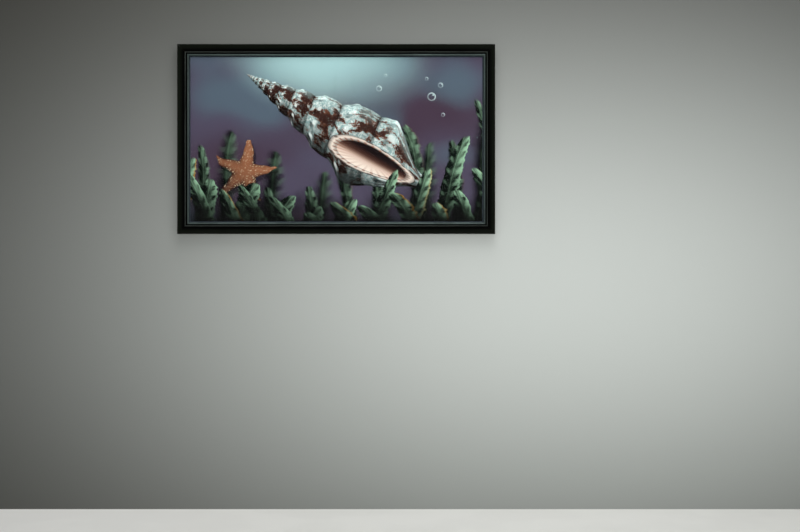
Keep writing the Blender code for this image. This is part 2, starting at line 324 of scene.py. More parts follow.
def paint(red: int, green: int, blue: int) -> Colour:
    """A paint colour mixed by its screen values from 0 to 255.

    Args:
        red: The red value.
        green: The green value.
        blue: The blue value.

    Returns:
        The same colour in linear light.
    """
    shares = (value / 255 for value in (red, green, blue))
    return tuple(s / 12.92 if s <= 0.04045 else ((s + 0.055) / 1.055) ** 2.4 for s in shares)


def dimmed(colour: Colour, amount: float) -> Colour:
    """A paint colour times a number."""
    return tuple(part * amount for part in colour)


def spoken(name: str) -> str:
    """A name as a socket shows it."""
    return name.replace("_", " ").title()


def write_group(
    tree: bpy.types.NodeTree, takes: Iterable[str], draw: Callable[[Bundle], Bundle]
) -> None:
    """Writes a node group with named inputs and outputs.

    Args:
        tree: The group's empty tree.
        takes: The names of its inputs.
        draw: Writes its nodes from the inputs, and returns the outputs.
    """

    def open_sockets(names: Iterable[str], way: str) -> None:
        """Opens sockets, each of the kind that its name says.

        Args:
            names: The names of the sockets.
            way: Whether they are inputs or outputs.
        """
        for name in names:
            kind = SOCKET_KINDS.get(name.split("_")[-1], "Float")
            tree.interface.new_socket(spoken(name), in_out=way, socket_type=f"NodeSocket{kind}")

    open_sockets(takes, "INPUT")
    entry = tree.nodes.new("NodeGroupInput")
    given = Bundle(**{name: Signal(entry.outputs[spoken(name)]) for name in takes})
    drawn = vars(draw(given))
    open_sockets(drawn, "OUTPUT")
    leave = tree.nodes.new("NodeGroupOutput")
    for name, signal in drawn.items():
        feed(leave.inputs[spoken(name)], signal)


@dataclass(frozen=True)
class Recipe:
    """A shader node group with named inputs and outputs, built once and placed where it is used."""

    takes: ClassVar[Names] = ()

    def draw(self, given: Bundle) -> Bundle:
        """Writes the group's nodes. Each recipe has its own.

        Args:
            given: The group's inputs.

        Returns:
            The group's outputs.
        """
        raise NotImplementedError

    def used(self, **values: object) -> Bundle:
        """Places the group in the tree that its values come from.

        Args:
            values: What feeds its inputs.

        Returns:
            The group's outputs.
        """
        title = type(self).__name__
        tree = bpy.data.node_groups.get(title)
        if tree is None:
            tree = bpy.data.node_groups.new(title, "ShaderNodeTree")
            write_group(tree, self.takes, self.draw)
        inputs = {spoken(name): value for name, value in values.items()}
        placed = node("ShaderNodeGroup", inputs, node_tree=tree).socket.node
        return Bundle(**{output.name.lower(): Signal(output) for output in placed.outputs})


@dataclass(frozen=True)
class WeedRow(Recipe):
    """A row of weed blades in the printed picture, each its own height, lean and tone.

    One blade fills one cell across. Softness blurs their edges, as for a row out of focus.
    """

    takes: ClassVar[Names] = (
        "across",
        "up",
        "foot",
        "length",
        "spacing",
        "lean",
        "curl",
        "width",
        "softness",
        "tone",
        "seed",
    )

    ruffle: float = 0.68
    frills: float = 30.0
    folds: float = 46.0
    leaf_light: Colour = paint(144, 184, 152)
    leaf_dark: Colour = paint(9, 17, 13)
    leaf_rim: Colour = paint(176, 128, 50)

    def draw(self, given: Bundle) -> Bundle:
        """Bends the picture straight, cuts it into cells and shades one blade in each.

        Args:
            given: The spot in the picture, and the row's sizes and tone.

        Returns:
            The colour, and the mask of the blades.
        """
        up, seed = given.up, given.seed
        rise = (up - given.foot) / given.length
        sway = Maths.SINE(up * 3.1 + seed) * 0.05
        straight = given.across - given.lean * rise - given.curl * rise * rise + sway
        cell = straight / given.spacing + seed
        number = Maths.FLOOR(cell)
        lot = {"Vector": joined(number, seed)}
        chance = node("ShaderNodeTexWhiteNoise", lot, "Color", noise_dimensions="2D")
        one, two, three = chance.parts()
        height = rise / (0.55 + two * 0.55)
        lean = one.swing(0.26) + three.swing(0.30) * rise
        taper = Maths.POWER(Maths.MAXIMUM(1.0 - height, 0.0), 0.45)
        half = given.width * taper * (0.50 + height * 0.70)
        across = (Maths.FRACT(cell) - 0.5 - lean) / half
        crease = joined(up * 7.0, number * 3.7, across * 0.5).noise(1.0)
        side = Maths.SIGN(across) * 3.0
        frill = joined(up * self.frills, number * 5.1, side).noise(1.0, 2.0, 0.6)
        out = abs(across) * (0.96 + crease.swing(self.ruffle) + frill.swing(self.ruffle))
        edge = ((1.0 - out) / given.softness).smooth(0.0, 1.0)
        fold = Maths.SINE(up * self.folds + frill * 5.0 - abs(across) * 3.4)
        margin = abs(across).smooth(0.10, 0.80)
        lit = 0.36 + across * 0.44 + fold * margin * 0.46 + crease.swing(0.9)
        lit = lit + abs(across).smooth(0.11, 0.03) * 0.16 + (height - 0.6) * 0.40
        rim = out.smooth(0.66, 0.94) * (across + height).smooth(0.1, 1.4)
        pale = dimmed(self.leaf_light, 1.25)
        colour = layered(
            self.leaf_dark,
            (lit.smooth(0.16, 1.10), self.leaf_light),
            (rim * 0.8, blend(one.smooth(0.50, 0.60), pale, self.leaf_rim)),
        )
        shade = height.smooth(0.05, 0.95) * (0.70 + three * 0.4) * given.tone
        return Bundle(colour=scaled(colour, shade), mask=edge * height.smooth(1.0, 0.96))


@dataclass(frozen=True)
class AirBubble(Recipe):
    """A small round bubble in the printed picture, bright at its rim and glint."""

    takes: ClassVar[Names] = ("under_colour", "x", "y")

    shine: Colour = paint(205, 228, 228)

    def draw(self, given: Bundle) -> Bundle:
        """Lays the bubble over the colour below it.

        Args:
            given: The colour below, and the spot, in radii of the bubble from its middle.

        Returns:
            The colour.
        """
        x, y = given.x, given.y
        reach = distance(x, y)
        rim = reach.smooth(0.62, 0.95) * reach.smooth(1.06, 0.98)
        glint = distance(x - 0.38, y - 0.4).smooth(0.26, 0.1)
        lit = rim * (0.35 + (x + y).smooth(-0.9, 1.0) * 0.55) + glint * 0.9
        return Bundle(colour=blend(lit.capped(), given.under_colour, self.shine))


@dataclass(frozen=True)
class StarFish(Recipe):
    """A five-armed star in the printed picture, with rows of small knobs."""

    takes: ClassVar[Names] = ("x", "y", "turn")

    arms: int = 5
    light: Colour = paint(146, 96, 68)
    dark: Colour = paint(46, 24, 20)
    knob: Colour = paint(206, 190, 160)

    def draw(self, given: Bundle) -> Bundle:
        """Folds the picture into one arm and shades it as a rounded ridge.

        Args:
            given: The spot, in arms' lengths from the star's middle, and the star's turn.

        Returns:
            The colour, and the mask of the star.
        """
        x, y = given.x, given.y
        reach = distance(x, y)
        wobble = joined(x, y, 3.0).noise(2.6, 1.0).swing(0.5)
        turn = Maths.ARCTAN2(y, x) + given.turn + wobble * reach
        sector = math.tau / self.arms
        off_axis = abs(Maths.FRACT(turn * (1 / sector)) - 0.5) * sector
        along = reach * Maths.COSINE(off_axis)
        aside = reach * Maths.SINE(off_axis)
        tip = ((1.0 - along) * 5.0).root().capped()
        half = tip * (0.085 + 0.26 * Maths.POWER(1.0 - along, 1.6))
        across = aside / Maths.MAXIMUM(half, 0.001)
        crown = (1.0 - across * across).root()
        knobs = joined(x, y).cells(17.0).smooth(0.36, 0.18)
        row = abs(across - 0.72).smooth(0.30, 0.08) + across.smooth(0.2, 0.05)
        colour = layered(
            self.dark,
            ((crown + x * 0.35 + y * 0.45).smooth(0.15, 1.35), self.light),
            (knobs * (row + 0.25).capped() * 0.85, self.knob),
        )
        return Bundle(colour=colour, mask=across.smooth(1.0, 0.93) * along.smooth(1.0, 0.985))


@dataclass(frozen=True)
class ShellSpot:
    """A spot of the shell: where it lies on the cone, and where in its turn.

    Height is how far it stands forward of the axis. Band is how far through its turn it
    lies, from the seam above, and number is the turn's own.
    """

    along: Signal
    aside: Signal
    across: Signal
    facing: Signal
    height: Signal
    band: Signal
    turn: Signal
    number: Signal


@dataclass(frozen=True)
class SpiralShell(Recipe):
    """A knobbed spiral shell in the printed picture, seen from the side.

    The shell is a cone along its axis from its apex. Each turn is growth times as large as the
    one before, so a turn's number is a logarithm and the seam between two turns is a helix.
    """

    takes: ClassVar[Names] = ("along", "aside")

    growth: float = 1.40
    slope: float = 0.285
    seam_at: float = 1.30
    belly: float = 1.66
    tail: float = 2.52
    tail_share: float = 0.13
    shoulder_at: float = 0.36
    knobs: int = 10
    cords: float = 7.0
    teeth: float = 30.0
    cream: Colour = paint(222, 232, 228)
    mint: Colour = paint(150, 182, 180)
    teal: Colour = paint(84, 112, 118)
    rust: Colour = paint(132, 78, 54)
    brown: Colour = paint(62, 38, 32)
    ink: Colour = paint(20, 13, 14)
    lip: Colour = paint(240, 226, 212)
    flesh: Colour = paint(176, 128, 104)
    mouth_at: float = 1.86
    mouth_length: float = 0.47
    mouth_width: float = 0.145

    def draw(self, given: Bundle) -> Bundle:
        """Wraps bands, knobs, blotches and light round the cone.

        Args:
            given: The spot along the axis from the apex, and aside from it.

        Returns:
            The colour, and the mask of the shell.
        """
        along, aside = given.along, given.aside
        closing = along.smooth(self.belly, self.tail)
        plain = along * self.slope * (1.0 - closing * (1.0 - self.tail_share))
        outline = Maths.FRACT(self._turns(along) + self._held(aside / plain) * 0.25)
        bulge = Maths.SINE(outline * math.pi)
        shoulder = abs(outline - self.shoulder_at).smooth(0.14, 0.02)
        half = plain * (0.90 + bulge * 0.13 + shoulder * 0.05)
        across = aside / half
        facing = (1.0 - across * across).root()
        turn = Maths.ARCSINE(self._held(across))
        whole = self._turns(along + facing * half * 0.16) + turn / math.tau
        band, number = Maths.FRACT(whole), Maths.FLOOR(whole)
        spot = ShellSpot(along, aside, across, facing, facing * half, band, turn, number)
        knob = self._knob(spot, 0.0)
        lit = self._light(spot, knob)
        rim = across.smooth(0.55, 0.98) * bulge.smooth(0.1, 0.7)
        glint = joined(along * 26.0, aside * 26.0, 1.7).noise(1.0)
        wet = glint.smooth(0.64, 0.70) * lit.smooth(0.55, 0.85)
        colour = scaled(self._coat(spot, knob), lit)
        colour = added(colour, scaled(self.mint, rim * 0.40))
        colour = added(colour, scaled(self.cream, wet * 0.35))
        inside = abs(across).smooth(1.0, 0.985) * along.smooth(0.0, 0.012)
        mask = inside * along.smooth(self.tail, self.tail - 0.02)
        return Bundle(colour=self._mouth(colour, along, aside), mask=mask)

    def _held(self, value: Signal) -> Signal:
        """A value held between -1 and 1."""
        return Maths.MAXIMUM(value, -1.0).capped()

    def _turns(self, along: Signal) -> Signal:
        """How many turns lie between the seam mark and a point along the axis."""
        return Maths.LOGARITHM(Maths.MAXIMUM(along, 0.01) / self.seam_at, self.growth) + 20.0

    def _knob(self, spot: ShellSpot, shift: float) -> Signal:
        """A row of knobs on the shoulder of each turn.

        Args:
            spot: Where it is read.
            shift: How far aside of the spot it is read.

        Returns:
            How high the knob is, from 0 to 1.
        """
        phase = (spot.turn + shift) * self.knobs + spot.number * 2.1
        row = abs(spot.band + shift * 0.5 - self.shoulder_at).smooth(0.15, 0.02)
        return Maths.COSINE(phase).smooth(0.05, 0.95) * row

    def _light(self, spot: ShellSpot, knob: Signal) -> Signal:
        """How brightly a spot is lit, from the upper right and in front.

        Args:
            spot: The spot.
            knob: How high the knob is there.

        Returns:
            The light.
        """
        lean = Maths.COSINE(spot.band * math.pi)
        base = spot.across * 0.42 + spot.facing * 0.62 + lean * 0.20
        cords = Maths.SINE(spot.band * (math.tau * self.cords)) * 0.07
        seam = spot.band.smooth(0.0, 0.09) * spot.band.smooth(1.0, 0.97)
        ribs = joined(spot.turn * 9.0, spot.band * 1.1, spot.number * 3.7).noise(1.0, 3.0)
        slope = (knob - self._knob(spot, 0.17)) * 0.50
        lit = base + slope + knob * 0.06 + cords + ribs.swing(0.5)
        return lit.smooth(-0.25, 1.05) * 0.92 * (0.24 + seam * 0.76) + 0.04

    def _coat(self, spot: ShellSpot, knob: Signal) -> Signal:
        """The shell's own colours: cream and mint ground, brown flames, ink specks.

        Args:
            spot: The spot.
            knob: How high the knob is there.

        Returns:
            The colour, before light.
        """
        lie = joined(spot.turn * 1.7, spot.band * 0.9, spot.number * 5.3)
        flames = lie.noise(1.6, 4.0, 0.6, 0.8)
        place = joined(spot.along, spot.aside, spot.height)
        patches = place.noise(4.2, 5.0, 0.62, 0.5)
        fine = place.noise(38.0, 3.0, 0.6)
        mark = flames * 0.55 + patches * 0.45 + fine.swing(0.16)
        lower = mark + spot.band.smooth(0.40, 0.62) * 0.045
        specks = place.cells(46.0).smooth(0.22, 0.12) * patches.smooth(0.42, 0.60)
        dots = place.cells(30.0).smooth(0.20, 0.10) * mark.smooth(0.52, 0.56)
        return layered(
            self.mint,
            (fine.smooth(0.42, 0.62), self.cream),
            (patches.smooth(0.50, 0.68) * 0.55, self.teal),
            (lower.smooth(0.512, 0.547), self.rust),
            (lower.smooth(0.534, 0.572), self.brown),
            (specks, self.ink),
            (dots * 0.8, self.mint),
            (knob.smooth(0.35, 0.95) * 0.85, self.cream),
        )

    def _mouth(self, under: Signal, along: Signal, aside: Signal) -> Signal:
        """The open mouth on the last turn, with its rolled and toothed lip.

        Args:
            under: The shell's colour.
            along: How far along the axis the spot is.
            aside: How far it is aside.

        Returns:
            The colour with the mouth.
        """
        x = (along - self.mouth_at) / self.mouth_length
        middle = (along - self.mouth_at) * 0.10 - 0.085
        y = (aside - middle) / (self.mouth_width * (1.0 - x * 0.24))
        reach = distance(x, y) + joined(x, y, 9.0).noise(1.6).swing(0.10)
        turn = Maths.ARCTAN2(y, x)
        roll = reach.smooth(1.0, 1.24)
        crown = Maths.SINE(roll * math.pi)
        slant = (y * 0.40 + x * 0.10) * (roll - 0.5) * 0.9
        teeth = Maths.SINE(turn * self.teeth).smooth(0.1, 0.8)
        bars = joined(turn * 3.0, 0.0, 4.0).noise(1.0, 1.0).smooth(0.52, 0.58)
        lip = layered(
            scaled(self.lip, 0.34 + crown * 0.52 + slant),
            (teeth * roll.smooth(0.62, 0.20) * 0.75, self.rust),
            (bars * roll.smooth(0.45, 0.80) * 0.8, self.brown),
        )
        depth = y + x * 0.15
        sink = depth.smooth(-1.0, 0.35)
        inner = layered(
            self.lip,
            ((sink + teeth * reach.smooth(0.45, 0.95) * 0.30).capped(), self.flesh),
            (sink.smooth(0.45, 1.0), self.brown),
            (depth.smooth(0.10, 0.62), self.ink),
        )
        return layered(
            under,
            (reach.smooth(1.27, 1.24) * 0.65, self.ink),
            (reach.smooth(1.24, 1.21), lip),
            (reach.smooth(1.0, 0.96), inner),
        )


@dataclass(frozen=True)
class WeedSpec:
    """How one row of weed stands in the picture, in half heights of the picture.

    Softness blurs the edges of its blades, and tone is how bright they are.
    """

    length: float
    spacing: float
    width: float
    lean: float
    curl: float
    softness: float
    tone: float
    foot: float = -1.25


@dataclass(frozen=True)
class PicturePlace:
    """Where a motif of the picture lies, in half heights of the picture from its centre."""

    across: float
    up: float
    size: float = 1.0

    def seen(self, spot: Bundle) -> tuple[Signal, Signal]:
        """How far across and up from here a spot lies, in the motif's own size."""
        return (spot.across - self.across) / self.size, (spot.up - self.up) / self.size


@dataclass(frozen=True)
class SeaPicture:
    """A generic picture of a spiral shell and a star among weed, as a printed photograph.

    Lengths are in half heights of the picture.
    """

    mauve: Colour = paint(76, 70, 88)
    plum: Colour = paint(66, 52, 66)
    slate: Colour = paint(82, 102, 114)
    glow: Colour = paint(172, 212, 212)
    deep: Colour = paint(8, 9, 8)
    glow_at: PicturePlace = PicturePlace(-0.15, 1.05)
    clearing: float = -0.15
    apex: PicturePlace = PicturePlace(-1.10, 0.80)
    shell_turn: float = math.radians(-32)
    star: PicturePlace = PicturePlace(-1.12, -0.40, 0.40)
    star_shade: PicturePlace = PicturePlace(-1.09, -0.45, 0.40)
    star_turn: float = 0.5
    back_rows: tuple[WeedSpec, ...] = (
        WeedSpec(1.90, 0.61, 0.42, 0.25, 0.15, 0.95, 0.40),
        WeedSpec(1.50, 0.43, 0.36, -0.18, -0.16, 0.50, 0.70),
    )
    front_rows: tuple[WeedSpec, ...] = (
        WeedSpec(1.02, 0.41, 0.44, 0.14, 0.26, 0.08, 1.0),
        WeedSpec(0.76, 0.35, 0.46, -0.20, -0.26, 0.06, 1.0),
    )
    bubbles: tuple[PicturePlace, ...] = (
        PicturePlace(1.16, 0.52, 0.050),
        PicturePlace(1.27, 0.66, 0.030),
        PicturePlace(1.10, 0.74, 0.020),
        PicturePlace(1.30, 0.30, 0.022),
        PicturePlace(0.52, 0.62, 0.034),
        PicturePlace(0.60, 0.78, 0.018),
    )

    def colour(self, place: Signal) -> Signal:
        """Paints the picture from back to front.

        Args:
            place: The print's Object coordinates.

        Returns:
            The picture's colour.
        """
        x, _, z = place.parts()
        across = x * (1 / PICTURE_HALF_HEIGHT)
        up = (z - CENTRE_Z) * (1 / PICTURE_HALF_HEIGHT)
        spot = Bundle(across=across, up=up)
        colour = self._weed(self._water(spot), spot, self.back_rows)
        for bubble in self.bubbles:
            x, y = bubble.seen(spot)
            colour = AirBubble().used(under_colour=colour, x=x, y=y).colour
        colour = self._star(self._shell(colour, spot), spot)
        colour = self._weed(colour, spot, self.front_rows)
        dark = (up + place.noise(7.0).swing(0.7)).smooth(-0.55, -1.05)
        drift = joined(across, up, 0.3).cells(5.5).smooth(0.052, 0.030)
        motes = drift * place.noise(12.0).smooth(0.5, 0.6)
        return layered(colour, (dark * 0.96, self.deep), (motes * 0.35, self.glow))

    def _water(self, spot: Bundle) -> Signal:
        """Blurred water behind, mauve and slate, with a pale glow near the middle of the top.

        Args:
            spot: The spot in the picture.

        Returns:
            The water's colour.
        """
        flat = joined(spot.across, spot.up)
        slow = flat.stretched((0.6, 0.8, 1.0)).noise(1.1, 1.0, 0.4)
        drift = flat.stretched((0.8, 1.1, 1.0), (3.0, 1.0, 0.0)).noise(1.0, 1.0)
        x, y = self.glow_at.seen(spot)
        reach = distance(x * 0.62, y * 1.15) + slow.swing(0.5)
        return layered(
            self.plum,
            (slow.smooth(0.36, 0.62), self.mauve),
            ((drift + spot.up * 0.08).smooth(0.48, 0.68) * 0.7, self.slate),
            (reach.smooth(0.95, 0.10) * 0.85, self.glow),
        )

    def _weed(self, under: Signal, spot: Bundle, rows: Iterable[WeedSpec]) -> Signal:
        """Lays rows of weed over the picture one after another, lower about a clearing.

        Args:
            under: The colour below.
            spot: The spot in the picture.
            rows: The rows, from the back.

        Returns:
            The colour with the weed.
        """
        taller = 0.72 + abs(spot.across - self.clearing).smooth(0.3, 1.7) * 0.5
        for row in rows:
            seed = row.length * 7.0 + row.spacing
            sizes = {**vars(row), "length": taller * row.length, "seed": seed}
            drawn = WeedRow().used(**vars(spot), **sizes)
            under = blend(drawn.mask, under, drawn.colour)
        return under

    def _shell(self, under: Signal, spot: Bundle) -> Signal:
        """Lays the shell on its slanting axis.

        Args:
            under: The colour below.
            spot: The spot in the picture.

        Returns:
            The colour with the shell.
        """
        cosine, sine = math.cos(self.shell_turn), math.sin(self.shell_turn)
        x, y = self.apex.seen(spot)
        shell = SpiralShell().used(along=x * cosine + y * sine, aside=y * cosine - x * sine)
        return blend(shell.mask, under, shell.colour)

    def _star(self, under: Signal, spot: Bundle) -> Signal:
        """Lays the star at the lower left, with a shadow beside it.

        Args:
            under: The colour below.
            spot: The spot in the picture.

        Returns:
            The colour with the star.
        """
        shade, star = (
            StarFish().used(**dict(zip("xy", place.seen(spot))), turn=self.star_turn)
            for place in (self.star_shade, self.star)
        )
        return layered(under, (shade.mask * 0.6, self.deep), (star.mask, star.colour))


@dataclass(frozen=True)
class MouldingPlace(Recipe):
    """Where a spot of the mitred frame lies on its own rail and in the rail's section.

    Inward runs from the outer edge and forward from the back, both in millimetres. The
    grain's vector runs along the rail, so every pattern turns the corner at the mitre.
    """

    takes: ClassVar[Names] = ("place", "half_width", "half_height", "middle_level", "back")

    rail_shift: float = 3.1
    stile_shift: float = 7.7

    def draw(self, given: Bundle) -> Bundle:
        """Picks the nearer pair of edges, and starts each rail's grain at a place of its own.

        Args:
            given: The Object coordinates, and the frame's sizes in metres.

        Returns:
            The distances inward and forward, and the vector for the grain.
        """
        x, y, z = given.place.parts()
        level = z - given.middle_level
        from_side = given.half_width - abs(x)
        from_end = given.half_height - abs(level)
        stile = Maths.GREATER_THAN(from_end, from_side)
        other = level + (x - level) * stile
        side = Maths.GREATER_THAN(other, 0.0)
        along = x + (level - x) * stile + side * self.rail_shift + stile * self.stile_shift
        inward = Maths.MINIMUM(from_side, from_end)
        forward = given.back - y
        grain = joined(along, inward, forward)
        return Bundle(inward=inward * MM_A_METRE, forward=forward * MM_A_METRE, grain=grain)


@dataclass(frozen=True)
class LongGrain(Recipe):
    """Fine streaks that run along the first axis of a vector, as in wood, brushwork or metal."""

    takes: ClassVar[Names] = ("grain", "along", "across", "contrast")

    wander: float = 0.004

    def draw(self, given: Bundle) -> Bundle:
        """Stretches a noise, and takes its dark tips as open pores.

        Args:
            given: The grain's vector, its fineness along and across, and its contrast.

        Returns:
            The streaks about 0.5, and the mask of the pores.
        """
        along, inward, forward = given.grain.parts()
        across = (inward + given.grain.noise(9.0, 1.0) * self.wander) * given.across
        lie = joined(along * given.along, across, forward * given.across)
        streak = lie.noise(1.0, 3.0, 0.6)
        pores = lie.stretched((2.6, 1.6, 1.6)).noise(1.0, 1.0).smooth(0.34, 0.27)
        return Bundle(value=(streak - 0.5) * given.contrast * 2.0 + 0.5, pores=pores)


@dataclass(frozen=True)
class EdgeWear(Recipe):
    """Small rubbed patches, thicker where edge is near 1."""

    takes: ClassVar[Names] = ("place", "edge", "amount", "fineness")

    def draw(self, given: Bundle) -> Bundle:
        """Weighs slow and fine noise against how near the edge is.

        Args:
            given: The Object coordinates, how near the edge is, and how much wear there is.

        Returns:
            The mask of the wear.
        """
        slow = given.place.noise(6.0, 1.0)
        fine = scaled(given.place, given.fineness).noise(1.0, 3.0, 0.65)
        reach = given.edge * 0.42 + slow * 0.5 + fine * 0.62 + given.amount * 0.30
        return Bundle(mask=reach.smooth(1.10, 1.17) * given.edge.smooth(0.0, 0.25))


@dataclass(frozen=True)
class DustFall(Recipe):
    """Dust that lies where a surface faces up, with a few specks of lint."""

    takes: ClassVar[Names] = ("place", "normal", "amount")

    def draw(self, given: Bundle) -> Bundle:
        """Takes how far the surface faces up, and breaks it with noise.

        Args:
            given: The Object coordinates, the surface's normal, and how much dust there is.

        Returns:
            The mask of the dust.
        """
        lie = given.normal.parts()[2].smooth(0.60, 1.0)
        cloud = given.place.noise(60.0, 3.0, 0.6)
        grain = given.place.noise(1400.0, 2.0, 0.7)
        specks = given.place.cells(520.0).smooth(0.20, 0.10)
        film = (cloud * 0.6 + grain * 0.4).smooth(0.36, 0.66)
        return Bundle(mask=(lie * (film * 0.75 + specks * 0.5) * given.amount).capped())


@dataclass(frozen=True)
class HairScratches(Recipe):
    """Hair-fine scratches, each a level line of a drawn-out noise."""

    takes: ClassVar[Names] = ("place", "amount")

    def draw(self, given: Bundle) -> Bundle:
        """Keeps short lengths of the lines where a slow noise is high.

        Args:
            given: The coordinates, and how many scratches there are.

        Returns:
            The mask of the scratches.
        """
        lines = given.place.noise(1.0, 1.0, 0.3)
        slant = given.place.stretched((0.4, 1.7, 1.3), (5.0, 2.0, 9.0)).noise(1.0, 1.0)
        hair = abs(lines - 0.5).smooth(0.006, 0.001)
        second = abs(slant - 0.5).smooth(0.005, 0.001)
        kept = (given.place.noise(0.35) + given.amount * 0.2).smooth(0.56, 0.64)
        return Bundle(mask=Maths.MAXIMUM(hair, second) * kept)


@dataclass(frozen=True)
class BoardFibres(Recipe):
    """Short matted fibres of a pressed board or card."""

    takes: ClassVar[Names] = ("place", "fineness")

    def draw(self, given: Bundle) -> Bundle:
        """Crosses two drawn-out noises, and picks stray dark fibres from their peaks.

        Args:
            given: The Object coordinates, and how fine the fibres are.

        Returns:
            The fibres about 0.5, and the mask of the stray ones.
        """
        fine = scaled(given.place, given.fineness)
        one = fine.stretched((1.0, 1.0, 0.22)).noise(1.0, 3.0, 0.6, 0.8)
        two = fine.stretched((0.22, 1.0, 1.0), (4.0, 0.0, 7.0)).noise(1.0, 3.0, 0.6, 0.8)
        flecks = Maths.MAXIMUM(one, two).smooth(0.66, 0.72)
        return Bundle(value=one * 0.5 + two * 0.5, flecks=flecks)


class Skin(Enum):
    """The inputs of the surface shader that finishes feed, by Blender's own names."""

    COLOUR = "Base Color"
    METAL = "Metallic"
    ROUGH = "Roughness"
    GLASS = "Transmission Weight"
    BEND = "IOR"
    SHINE = "Specular IOR Level"
    COAT = "Coat Weight"
    COAT_ROUGH = "Coat Roughness"
    NORMAL = "Normal"


@dataclass(frozen=True)
class Finish:
    """A surface of the object, made once as a material for one of its slots."""

    slot: ClassVar[str] = ""
    fixed: ClassVar[dict[Skin, float]] = {}

    def surface(self, place: Signal) -> dict[Skin, Signal]:
        """Writes what changes over the surface. Each finish has its own.

        Args:
            place: The Object coordinates.

        Returns:
            The signals for the shader's inputs.
        """
        raise NotImplementedError

    def material(self) -> bpy.types.Material:
        """Makes the finish's material the first time it is asked for.

        Returns:
            The material.
        """
        title = f"{self.slot}_finish"
        if title in bpy.data.materials:
            return bpy.data.materials[title]
        made = bpy.data.materials.new(title)
        made.use_nodes = True
        shader = made.node_tree.nodes["Principled BSDF"]
        place = node("ShaderNodeTexCoord", {}, "Object", made.node_tree)
        for skin, value in {**self.fixed, **self.surface(place)}.items():
            feed(shader.inputs[skin.value], value)
        return made

    def dress(self, *names: str) -> None:
        """Gives this finish to CAD nodes.

        Args:
            names: The nodes.
        """
        for name in names:
            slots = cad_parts[name].data.materials
            slots.clear()
            slots.append(self.material())
            log.info("%s is dressed in %s", name, self.slot)


def moulding_spot(place: Signal) -> Bundle:
    """Where a spot lies on the mitred frame.

    Args:
        place: The Object coordinates.

    Returns:
        How far in and how far forward it is, in millimetres, and the vector for its grain.
    """
    return MouldingPlace().used(
        place=place,
        half_width=HALF_WIDTH,
        half_height=HALF_HEIGHT,
        middle_level=CENTRE_Z,
        back=BACK_Y,
    )


